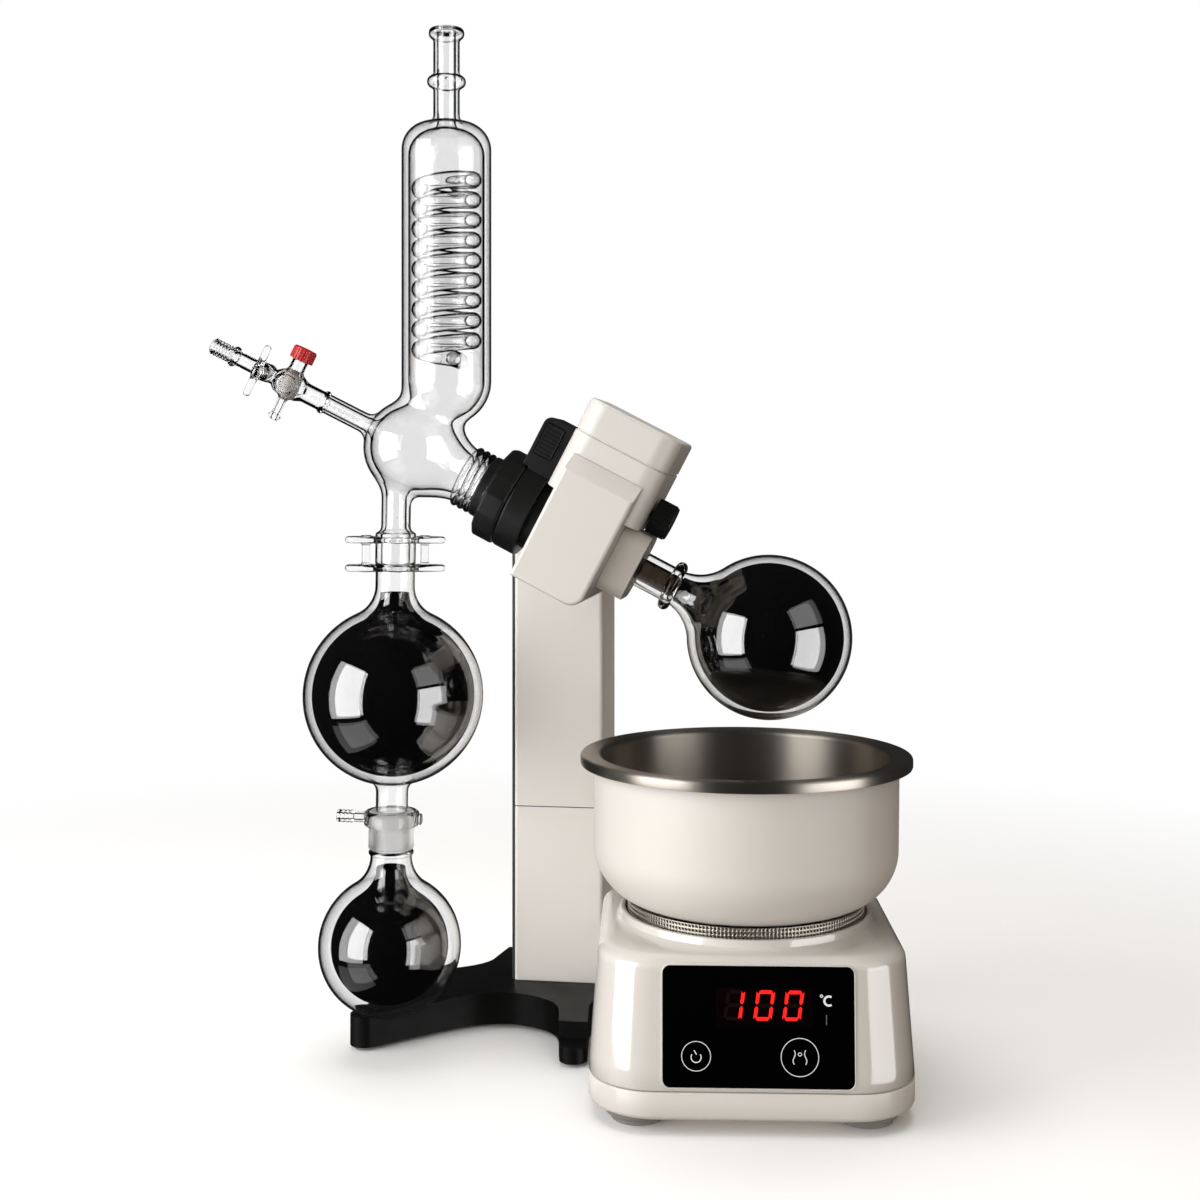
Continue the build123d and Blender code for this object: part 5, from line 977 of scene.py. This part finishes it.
def clip_distance(points):
    """Both plates and both posts, with round edges."""
    down = np.array(STACK_DOWN)
    side = np.array((cos(CLIP_ANGLE), sin(CLIP_ANGLE), 0.0))
    side -= down * (side @ down)
    side /= np.linalg.norm(side)
    other = np.cross(down, side)
    away = points - np.array(STACK_TOP)
    run, over, drop = away @ side, away @ other, away @ down
    place_on = np.clip(run, -32, 32)
    reach = 9 + 12 * (1 - np.abs(place_on) / 32) ** 1.2
    flat = np.hypot(run - place_on, over) - reach
    flat = np.maximum(flat, 16.9 - np.hypot(run, over))
    form = None
    for low in CLIP_DROPS:
        slab = np.abs(drop - low - CLIP_THICK / 2) - CLIP_THICK / 2
        out, up = flat + 2.2, slab + 2.2
        plate = np.hypot(np.maximum(out, 0), np.maximum(up, 0)) + np.minimum(np.maximum(out, up), 0) - 2.2
        form = plate if form is None else np.minimum(form, plate)
    for end in (-24, 24):
        post = np.hypot(run - end, over) - 3.4
        post = np.maximum(post, np.abs(drop - 18.9) - 14.5)
        form = merged(form, post, 2.5)
    return form


clip_low = np.array(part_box("joint_clip")[0]) / MM - 3
clip_high = np.array(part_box("joint_clip")[1]) / MM + 3
stand_for("joint_clip", blown("joint_clip", clip_distance, clip_low, clip_high, 0.9))


# Feed valve: one blown body, a T key, a grey plug and a red cap
def feed_at(station, up=0.0, ahead=0.0):
    """Point on the feed arm, in millimetres from the middle of the bulb."""
    return np.array(BULB / MM + FEED_OUT * station + FEED_RISE * up + FORWARD * ahead)


def feed_distance(points):
    """Outside of the feed valve's glass body."""
    form = rod_distance(points, feed_at(80.1), feed_at(118), 8.2, 1.0)
    form = merged(form, rod_distance(points, feed_at(81), feed_at(84.5), 9.9, 1.6), 2)
    form = merged(form, rod_distance(points, feed_at(104), feed_at(128), 10.5, 4.5), 5)
    barrel = rod_distance(points, feed_at(116, 0, -13.6), feed_at(116, 0, 13.6), 9.6, 3.5)
    form = merged(form, barrel, 5)
    form = merged(form, rod_distance(points, feed_at(116), feed_at(169), 6.2), 5)
    form = merged(form, rod_distance(points, feed_at(139, 0, -12.6), feed_at(139, 0, 12.6), 7.4, 2), 4)
    form = merged(form, rod_distance(points, feed_at(166.2), feed_at(171), 8.8, 2.3), 2)
    form = merged(form, rod_distance(points, feed_at(168), feed_at(190), 5.5, 1), 1.5)
    for ridge in range(6):
        low = 173.2 + 2.8 * ridge
        form = merged(form, rod_distance(points, feed_at(low), feed_at(low + 1.3), 7.2, 0.6), 1)
    form = merged(form, rod_distance(points, feed_at(116), feed_at(116, 21.8), 6.6, 0.8), 4)
    form = merged(form, rod_distance(points, feed_at(116), feed_at(116, -31.8), 3.6, 1), 4)
    return merged(form, rod_distance(points, feed_at(116, -27), feed_at(116, -30.4), 5.3, 1.6), 1.5)


def feed_valve():
    """Body of the valve, with its bores open."""
    bores = [
        lambda p: rod_distance(p, feed_at(70), feed_at(112), 5.9),
        lambda p: rod_distance(p, feed_at(116), feed_at(200), 4.0),
        lambda p: rod_distance(p, feed_at(116), feed_at(116, 30), 4.4),
        lambda p: rod_distance(p, feed_at(116), feed_at(116, -40), 1.8),
        lambda p: rod_distance(p, feed_at(139, 0, -20), feed_at(139, 0, 20), 4.2),
    ]
    low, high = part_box("feed_valve_body")
    wall = hollow(feed_distance, bores, 2.4, 0.5)
    mesh = blown("feed_valve", wall, np.array(low) / MM - 1.5, np.array(high) / MM + 1.5, 0.8)
    stand_for("feed_valve_body", mesh)


feed_valve()


def feed_key():
    """Key: a tapered plug through the barrel and a long bar with a stout hub across its front."""
    middle_bar = Vector(feed_at(139, 0, 19)) * MM
    half = [(3.4, 6), (3.0, 12), (2.9, 19.5), (2.6, 21.4), (1.6, 22.4), (0, 22.5)]
    bar = [(radius, -station) for radius, station in half[::-1]] + [(4.4, -2.5), (4.4, 2.5)] + half
    stand_for("feed_key", lathe("feed_key", bar, middle_bar, FEED_RISE, 40, sharp=None))
    plug = [(0, -32), (2.6, -32), (3.0, -31.4), (3.9, -4), (5.2, -2), (5.2, 0), (0, 0)]
    beside("feed_key", "feed_key_plug", lathe("feed_key_plug", plug, middle_bar, FORWARD, 40))


feed_key()


# Where the condenser's big arm enters the nut
def arm_rings():
    """Black sleeve, a bright ring that is a painted highlight on the nut's front edge, and clear ridges round the
    arm.
    """
    sleeve = rounded(
        [(22.9, -75.0), (25.6, -75.0, 0.8), (26.0, -73.6, 0.6), (26.0, -61.4), (22.9, -61.4)],
        closed=True,
    )
    stand_for("arm_sleeve", lathe("arm_sleeve", sleeve, HEAD_POINT, HEAD_RUN, 96, True), finish=black_plastic)
    nut = NODES["coupling_nut"].data.vertices
    nut_start = min((vertex.co - HEAD_POINT).dot(HEAD_RUN) for vertex in nut) / MM
    # Painted highlight: a thin bright silver ring at the nut's face stands in for the highlight on its chamfered
    # front edge
    highlight_ring = rounded([(26.4, -0.5), (32.5, -0.5, 0.3), (32.5, 0.4), (26.4, 0.4)], closed=True)
    heart = HEAD_POINT + HEAD_RUN * nut_start * MM
    beside("arm_sleeve", "nut_highlight_ring", lathe("nut_highlight_ring", highlight_ring, heart, HEAD_RUN, 96, True), satin_silver)
    ridges = [(22.8, -93.0)]
    for step in range(49):
        ridges.append((23.2 + 2.9 * abs(sin(3 * pi * step / 48)) ** 0.7, -93.0 + 17.2 * step / 48))
    ridges += [(22.8, -75.8)]
    beside("condenser_body", "arm_ridges", lathe("arm_ridges", ridges, HEAD_POINT, HEAD_RUN, 96, True))


arm_rings()


# Heating bath: moulded housing and skirt, a drawn bowl, a spun pan and the perforated ring
BATH_SIDES = 224


def square_reach(turn, half, corner):
    """Distance from the middle of a square with round corners to its edge."""
    along, across = abs(cos(turn)), abs(sin(turn))
    straight = half - corner
    if half * across <= straight * along:
        return half / along
    if half * along <= straight * across:
        return half / across
    lean = straight * (along + across)
    return lean + sqrt(max(lean**2 - 2 * straight**2 + corner**2, 0))


def squared_shell(name, rows, bottom=False):
    """Shell on the bath's own lines from (height, half width, corner) rows in millimetres."""
    points = []
    for height, half, corner in rows:
        for side in range(BATH_SIDES):
            turn = 2 * pi * side / BATH_SIDES
            reach = square_reach(turn, half, min(corner, half)) * MM
            way = BATH_ACROSS * cos(turn) - BATH_AHEAD * sin(turn)
            points.append(BATH + way * reach + UP * height * MM)
    faces = grid_faces(len(rows), BATH_SIDES)
    if bottom:
        faces.append(tuple(range(BATH_SIDES)))
    return mesh_of(name, points, faces)


SEAM_Z = 31.5
HOUSING_TOP = 127.5
HOUSING_TAPER = 7.0 / 96.0


def housing_half(height):
    """Half width of the housing at a height."""
    return 121.0 - (height - SEAM_Z) * HOUSING_TAPER


def bath_housing():
    """Glossy housing that draws in towards its collar, and the duller skirt under it."""
    rows = [(SEAM_Z + 0.3, 117.0, 46), (SEAM_Z + 0.3, 119.6, 47.4), (SEAM_Z + 0.6, 120.5, 48)]
    rows += [(z, housing_half(z), 48 - (z - SEAM_Z) * 4 / 96) for z in (33, 45, 60, 75, 90, 104, 112, 116)]
    edge = 11.0
    crown = HOUSING_TOP - edge
    for turn in np.linspace(0, pi / 2, 10)[1:]:
        out = housing_half(crown) - edge * (1 - cos(turn)) * 0.9
        rows.append((crown + edge * sin(turn) * 0.93, out, 44.5))
    rows += [(127.2, 102.4, 50), (127.3, 101.2, 70), (127.8, 100.2, 92), (129.0, 99.6, 99.6)]
    collar = [(133.2, 99.3), (134.1, 98.9), (134.5, 98.0), (134.5, 96.2), (134.0, 95.2), (131.0, 94.9)]
    rows += [(height, reach, reach) for height, reach in collar + [(122.0, 94.9), (122.0, 60.0)]]
    stand_for("bath_housing", squared_shell("bath_housing", rows), finish=glossy_enamel)
    rows = [(10.0, 40.0, 20.0), (10.0, 115.0, 45.0), (10.6, 118.0, 46.6), (12.0, 120.0, 47.6)]
    rows += [(14.5, 121.0, 48), (SEAM_Z - 1.2, 121.0, 48), (SEAM_Z - 0.5, 120.6, 48)]
    rows += [(SEAM_Z - 0.3, 119.6, 47.4), (SEAM_Z - 0.3, 117.0, 46)]
    stand_for("bath_skirt", squared_shell("bath_skirt", rows, bottom=True), finish=textured_enamel)


bath_housing()


def bath_bowl():
    """White outer bowl with a wide round heel, from its rim down to its floor."""
    heel, floor = 43.0, 140.2
    outside = [(0, floor), (70, floor)]
    outside += [
        (119.3 - heel + heel * sin(turn), floor + heel - heel * cos(turn))
        for turn in np.linspace(0, pi / 2, 20)[1:]
    ]
    outside += [(119.5, 200), (119.8, 225), (120.0, 246), (120.0, 253.0), (119.2, 253.6), (117.0, 253.6)]
    inside = [(117.0, 192), (113.5, 166), (100, 150), (78, 143.2), (0, 143.2)]
    stand_for("bath_bowl", lathe("bath_bowl", outside + inside, BATH, UP, 200), finish=textured_enamel)


def bath_pan():
    """Spun steel pan with a rolled rim."""
    roll = 2.6
    inside = [(0, 148.1), (82, 148.1)]
    inside += [(83.4 + 30 * sin(turn), 178.1 - 30 * cos(turn)) for turn in np.linspace(0, pi / 2, 16)[1:]]
    inside += [(113.4, 190), (113.4, 220), (113.4, 250.6)]
    inside += [(113.4 + 3.4 * (1 - cos(turn)), 251.2 + 3.4 * sin(turn)) for turn in np.linspace(0, pi / 2, 7)]
    rim = [(127.9, 255.5)]
    rim += [(127.9 + roll * sin(turn), 252.9 + roll * cos(turn)) for turn in np.linspace(0, pi / 2, 7)[1:]]
    rim += [(130.5, 248.6), (130.0, 247.3), (129.0, 247.0), (128.2, 247.6)]
    rim += [(128.0, 252.4), (127.0, 253.4), (121, 253.7)]
    outside = [(115, 253.0), (115, 180), (111, 166), (104, 157), (94, 150), (80, 146.6), (0, 146.5)]
    stand_for("bath_pan", lathe("bath_pan", inside + rim + outside, BATH, UP, 240))


def vent_ring():
    """Perforated ring between the housing and the bowl."""
    rows, columns, sides = 4, 200, 8
    radius, low, high = 93.2, 129.0, 141.6
    points, faces = [], []
    tall = (high - low) / rows
    half = pi / columns
    for row in range(rows):
        for column in range(columns):
            turn = 2 * pi * column / columns
            first = len(points)
            for share, reach in ((1.0, None), (0.6, 1.0)):
                for corner in range(sides):
                    angle = pi / 4 * corner
                    along, up = cos(angle), sin(angle)
                    stretch = 1 / max(abs(along), abs(up)) if reach is None else reach
                    spot = turn + half * along * stretch * share
                    height = low + tall * (row + 0.5 + 0.5 * up * stretch * share)
                    points.append(BATH + Vector((cos(spot) * radius, sin(spot) * radius, height)) * MM)
            for corner in range(sides):
                near, far = first + corner, first + (corner + 1) % sides
                faces.append((near, far, far + sides, near + sides))
    ring = stand_for("vent_ring", mesh_of("vent_ring", points, faces, None))
    sheet = ring.modifiers.new("sheet thickness", "SOLIDIFY")
    sheet.thickness = 0.8 * MM
    sheet.offset = -1


bath_bowl()
bath_pan()
vent_ring()


# Control panel: black glass in a thin raised lip, with its window, digits and touch rings
PANEL_LEAN = atan2(7.0, 96.0)
PANEL_FACE = BATH_AHEAD * cos(PANEL_LEAN) + UP * sin(PANEL_LEAN)
PANEL_RISE = UP * cos(PANEL_LEAN) - BATH_AHEAD * sin(PANEL_LEAN)
PANEL_HEART = middle("control_panel") + PANEL_FACE * 1.5 * MM
PANEL_WIDTH = 137.5
PANEL_HEIGHT = 86.0


def on_panel(across, rise, out=0.0):
    """Point of the panel, in millimetres from the middle of its face."""
    return PANEL_HEART + (BATH_ACROSS * across + PANEL_RISE * rise + PANEL_FACE * out) * MM


def round_box(width, height, corner):
    """Points of a rectangle with round corners."""
    steps = 7
    points = []
    for quarter, (side, end) in enumerate(((1, 1), (-1, 1), (-1, -1), (1, -1))):
        for step in range(steps + 1):
            turn = pi / 2 * (quarter + step / steps)
            centre = (side * (width / 2 - corner), end * (height / 2 - corner))
            points.append((centre[0] + corner * cos(turn), centre[1] + corner * sin(turn)))
    return points


def slab(name, width, height, corner, rows, heart=(0, 0)):
    """Plate on the panel built from (inset, out) rows of one round rectangle, its last row closed."""
    points = []
    for inset, out in rows:
        ring = round_box(width - 2 * inset, height - 2 * inset, max(corner - inset, 0.2))
        points += [on_panel(heart[0] + x, heart[1] + y, out) for x, y in ring]
    count = len(points) // len(rows)
    faces = grid_faces(len(rows), count)
    faces.append(tuple(range(len(points) - count, len(points))))
    return mesh_of(name, points, faces)


def prisms(name, shapes, low, high):
    """Raised flat shapes on the panel, each a list of (across, rise) points."""
    points, faces = [], []
    for shape in shapes:
        first, count = len(points), len(shape)
        for out in (low, high):
            points += [on_panel(x, y, out) for x, y in shape]
        faces.append(tuple(first + count + k for k in range(count)))
        faces.append(tuple(first + count - 1 - k for k in range(count)))
        for k in range(count):
            after = (k + 1) % count
            faces.append((first + k, first + after, first + count + after, first + count + k))
    return mesh_of(name, points, faces)


def stroke(path, width, closed=False):
    """Strip of quads along a path on the panel."""
    path = [Vector(p) for p in path]
    count = len(path)
    sides = []
    for index, point in enumerate(path):
        before = path[index - 1] if closed or index else point
        after = path[(index + 1) % count] if closed or index < count - 1 else point
        run = (after - before).normalized()
        aside = Vector((-run.y, run.x)) * width / 2
        sides.append((point + aside, point - aside))
    shapes = []
    for index in range(count if closed else count - 1):
        near, far = sides[index], sides[(index + 1) % count]
        shapes.append([tuple(near[0]), tuple(far[0]), tuple(far[1]), tuple(near[1])][::-1])
    return shapes


def arc(x, y, radius, start, end, steps=40):
    """Points of an arc on the panel, its angles in degrees."""
    turns = np.radians(np.linspace(start, end, steps))
    return [(x + radius * cos(turn), y + radius * sin(turn)) for turn in turns]


DIGIT_WIDTH = 13.4
DIGIT_HEIGHT = 21.6
DIGIT_STROKE = 2.7
DIGIT_SLANT = 0.14
DIGIT_PLACES = (-17.3, 4.2, 25.0)
DIGIT_RISE = 15.4
LIT_PARTS = ("bc", "abcdef", "abcdef")
UNLIT_PARTS = ("adefg", "g", "g")
POWER_RING = (-44.7, -20.8)
STIR_RING = (29.5, -20.8)


def digit_shapes(x, y, lit):
    """Bars of one slanted figure, with small gaps between them."""
    half, tall, bar, gap = DIGIT_WIDTH / 2, DIGIT_HEIGHT / 2, DIGIT_STROKE, 0.35
    flat = [(-half + bar * 0.5, 0), (-half + bar, bar / 2), (half - bar, bar / 2), (half - bar * 0.5, 0),
            (half - bar, -bar / 2), (-half + bar, -bar / 2)]
    end = [(0, tall - bar), (bar / 2, tall - bar / 2), (bar / 2, bar / 2),
           (0, 0), (-bar / 2, bar / 2), (-bar / 2, tall - bar / 2)]
    bars = {
        "a": [(px, py + tall - bar / 2) for px, py in flat],
        "d": [(px, -py - tall + bar / 2) for px, py in flat][::-1],
        "g": flat,
    }
    for label, side, level in (("b", 1, 1), ("f", -1, 1), ("c", 1, -1), ("e", -1, -1)):
        bars[label] = [(side * (half - bar / 2) + px, level * (py + gap)) for px, py in end]
    shapes = []
    for label in lit:
        middle_x = sum(p[0] for p in bars[label]) / len(bars[label])
        middle_y = sum(p[1] for p in bars[label]) / len(bars[label])
        shape = []
        for px, py in bars[label]:
            px = middle_x + (px - middle_x) * 0.93
            py = middle_y + (py - middle_y) * 0.95
            shape.append((x + px + py * DIGIT_SLANT, y + py))
        turn = sum(a[0] * b[1] - b[0] * a[1] for a, b in zip(shape, shape[1:] + shape[:1]))
        shapes.append(shape if turn > 0 else shape[::-1])
    return shapes


def lamp_of(name, colour, strength):
    """Lit mark: a little uneven, as a lamp behind a printed window is."""
    base, tint, dim = (tuple(c * share for c in colour) for share in (0.4, 0.3, 0.8))
    material = finish_of(name, base, tint, (0.2, 0.3), 300.0)
    tree = material.node_tree
    glow = use_group(tree, MOTTLE, Base=(*colour, 1), Tint=(*dim, 1), Scale=300.0, Amount=0.6)
    set_inputs(tree, tree.nodes["Principled BSDF"], {
        "Emission Color": glow.outputs["Colour"], "Emission Strength": strength,
    })
    return material


def figures(parts):
    """Bars of the three figures."""
    return [shape for x, lit in zip(DIGIT_PLACES, parts) for shape in digit_shapes(x, DIGIT_RISE, lit)]


def control_panel():
    """Black glass in its lip, the display window with its figures, and the printed marks."""
    glass_rows = [(0, -3.0), (0, -0.5), (0.2, -0.18), (0.6, 0.0)]
    stand_for("control_panel", slab("control_panel", PANEL_WIDTH, PANEL_HEIGHT, 5.5, glass_rows))
    lip = []
    lip_rows = [(0, -1.6), (0, 0.1), (0.3, 0.5), (0.7, 0.55), (1.0, 0.3), (1.0, -0.4)]
    for inset, out in lip_rows:
        ring = round_box(PANEL_WIDTH + 2.2 - 2 * inset, PANEL_HEIGHT + 2.2 - 2 * inset, 6.6 - inset)
        lip += [on_panel(x, y, out) for x, y in ring]
    count = len(lip) // len(lip_rows)
    beside("bath_housing", "panel_lip", mesh_of("panel_lip", lip, grid_faces(len(lip_rows), count)))
    window = slab("display_window", 68, 28, 0.8, [(0, -0.05), (0, 0.05), (0.1, 0.1)], heart=(4.0, 13.6))
    stand_for("display_module", window)
    beside("display_module", "lit_figures", prisms("lit_figures", figures(LIT_PARTS), 0.08, 0.2), lamp_red)
    unlit = prisms("unlit_figures", figures(UNLIT_PARTS), 0.08, 0.14)
    beside("display_module", "unlit_figures", unlit, unlit_bar)
    marks = stroke(arc(*POWER_RING, 10.4, 0, 354, 60), 0.5, True)
    marks += stroke(arc(*STIR_RING, 13.4, 0, 355, 72), 0.5, True)
    marks += stroke(arc(-44.7, -21.6, 3.6, -215, 35, 30), 0.7) + stroke([(-46.2, -16.6), (-44.4, -19.6)], 0.7)
    for x, sway in ((25.4, 0.8), (33.6, -0.8)):
        marks += stroke([(x + sway * sin(t), -20.8 + 5.0 * t / pi) for t in np.linspace(-pi, pi, 14)], 0.6)
    marks += stroke(arc(29.5, -18.6, 1.2, 0, 342, 16), 0.5, True)
    marks += stroke(arc(50.4, 19.0, 3.2, 55, 305, 24), 1.5)
    marks += stroke(arc(45.2, 22.4, 0.9, 0, 345, 12), 0.6, True)
    beside("control_panel", "panel_marks", prisms("panel_marks", marks, -0.02, 0.06), glowing_print)
    dash = stroke([(48.6, 9.2), (48.6, 2.2)], 0.6)
    beside("control_panel", "unit_dash", prisms("unit_dash", dash, -0.02, 0.05), dim_mark)


lamp_red = lamp_of("lit figures", (1.0, 0.012, 0.008), 1.1)
# Painted light: the white printed marks are given a glow of their own
glowing_print = lamp_of("printed marks with painted glow", (0.9, 0.9, 0.9), 0.6)
dim_mark = finish_of("dim mark", (0.18, 0.18, 0.18), (0.12, 0.12, 0.12), (0.3, 0.4))
unlit_bar = finish_of(
    "unlit bars", (0.007, 0.003, 0.003), (0.01, 0.004, 0.004), (0.3, 0.4), Specular_IOR_Level=0.1
)
control_panel()


# Studio: pale floor, two window lights with a dim pane each, soft fill, and a world that
# gives clear glass its dark edges
PALE = 1.0  # brightness of the backdrop


def studio_floor():
    """Wide pale floor that fades into the backdrop."""
    reach, rings, sides = 6.0, 24, 64
    mesh = bpy.data.meshes.new("studio_floor")
    points = []
    for ring in range(1, rings + 1):
        out = reach * (ring / rings) ** 2
        for side in range(sides):
            turn = 2 * pi * side / sides
            points.append((out * cos(turn), out * sin(turn), 0))
    mesh.from_pydata(points, [], grid_faces(rings, sides) + [tuple(range(sides))])
    floor = bpy.data.objects.new("studio_floor", mesh)
    bpy.context.scene.collection.objects.link(floor)
    material, tree, shader = material_of("studio floor")
    set_inputs(tree, shader, {"Base Color": (0.97, 0.985, 1.0, 1), "Roughness": 0.9})
    glow = add_node(tree, "Emission", {"Color": (PALE, PALE, PALE, 1)})
    place_in = add_node(tree, "TexCoord")
    spread = add_node(tree, "VectorMath", {0: place_in.outputs["Object"]}, operation="LENGTH")
    fade = add_node(
        tree, "MapRange", {"Value": spread.outputs["Value"], "From Min": 0.35, "From Max": 1.4},
        interpolation_type="SMOOTHSTEP",
    )
    mix = add_node(tree, "MixShader", {0: fade.outputs["Result"], 1: shader.outputs[0], 2: glow.outputs[0]})
    set_inputs(tree, tree.nodes["Material Output"], {"Surface": mix.outputs[0]})
    mesh.materials.append(material)
    floor.visible_glossy = False
    floor.visible_diffuse = False
    floor.visible_transmission = False


def studio_world():
    """Backdrop: pale to the camera and straight through glass, darker above, dim in gloss, warm as light."""
    world = bpy.data.worlds.new("studio")
    bpy.context.scene.world = world
    world.use_nodes = True
    tree = world.node_tree
    path = add_node(tree, "LightPath").outputs
    place_in = add_node(tree, "TexCoord")
    parts = add_node(tree, "SeparateXYZ", {0: place_in.outputs["Generated"]})
    height = add_node(
        tree, "MapRange",
        {"Value": parts.outputs["Z"], "From Min": 0.3, "From Max": 0.75, "To Min": PALE, "To Max": 0.12},
        interpolation_type="SMOOTHSTEP",
    )
    straight = add_node(tree, "Math", {0: path["Glossy Depth"], 1: 0.5}, operation="LESS_THAN")
    share = {0: straight.outputs[0], 1: height.outputs["Result"]}
    through = add_node(tree, "Math", share, operation="MULTIPLY")
    strength = 0.36
    levels = (("Is Glossy Ray", 0.03), ("Is Transmission Ray", through.outputs[0]), ("Is Camera Ray", PALE))
    for label, level in levels:
        pick = add_node(tree, "Mix", {0: path[label], 2: strength, 3: level}, data_type="FLOAT")
        strength = pick.outputs[0]
    warmth = add_node(
        tree, "Mix", {0: path["Is Diffuse Ray"], 6: (1, 1, 1, 1), 7: (1, 0.87, 0.74, 1)}, data_type="RGBA"
    )
    background = tree.nodes["Background"]
    set_inputs(tree, background, {"Color": warmth.outputs[2], "Strength": strength})
    set_inputs(tree, tree.nodes["World Output"], {"Surface": background.outputs[0]})


def window_light(name, azimuth, elevation, width, height, glow, seen, distance=1.7):
    """Soft rectangular window that faces the middle of the object. Azimuth 0 is in front, 90 at the right.

    The glow is its brightness. It is seen as a "reflection" or only as "light" on the object.
    """
    heart = (CAD_LOW + CAD_HIGH) / 2
    turn, rise = radians(azimuth), radians(elevation)
    away = Vector((sin(turn) * cos(rise), -cos(turn) * cos(rise), sin(rise)))
    light = bpy.data.lights.new(name, "AREA")
    light.shape = "RECTANGLE"
    light.size = width
    light.size_y = height
    light.energy = glow * pi * width * height
    thing = bpy.data.objects.new(name, light)
    thing.location = heart + away * distance
    thing.rotation_euler = (-away).to_track_quat("-Z", "Y").to_euler()
    thing.visible_camera = False
    thing.visible_transmission = seen != "light"
    thing.visible_glossy = seen != "light"
    thing.visible_diffuse = seen != "reflection"
    bpy.context.scene.collection.objects.link(thing)


def camera():
    """Camera at the height, place and lens of the photograph."""
    lens = bpy.data.cameras.new("camera")
    lens.lens = 48
    lens.sensor_width = 36
    lens.shift_y = -0.1
    lens.clip_end = 30
    eye = bpy.data.objects.new("camera", lens)
    eye.location = (0.21881, -1.31557, 0.4705)
    eye.rotation_euler = (pi / 2, 0, radians(8))
    bpy.context.scene.collection.objects.link(eye)
    bpy.context.scene.camera = eye


studio_floor()
studio_world()
window_light("left_window", -51, 4, 1.3, 1.72, 5.0, "reflection")
window_light("left_pane", -51, -43, 1.3, 0.8, 0.6, "reflection")
window_light("right_window", 64, -13, 1.2, 1.4, 3.6, "reflection")
window_light("right_pane", 64, 26, 1.2, 0.8, 0.8, "reflection")
window_light("left_light", -62, 14, 1.6, 1.6, 3.8, "light")
window_light("front_light", -8, 0, 1.4, 1.6, 2.3, "light", 1.9)
window_light("overhead", 180, 84, 1.6, 1.6, 3.6, "light", 1.9)
camera()
bpy.context.scene.view_settings.view_transform = "Standard"
bpy.context.scene.cycles.max_bounces = 28
bpy.context.scene.cycles.transmission_bounces = 28
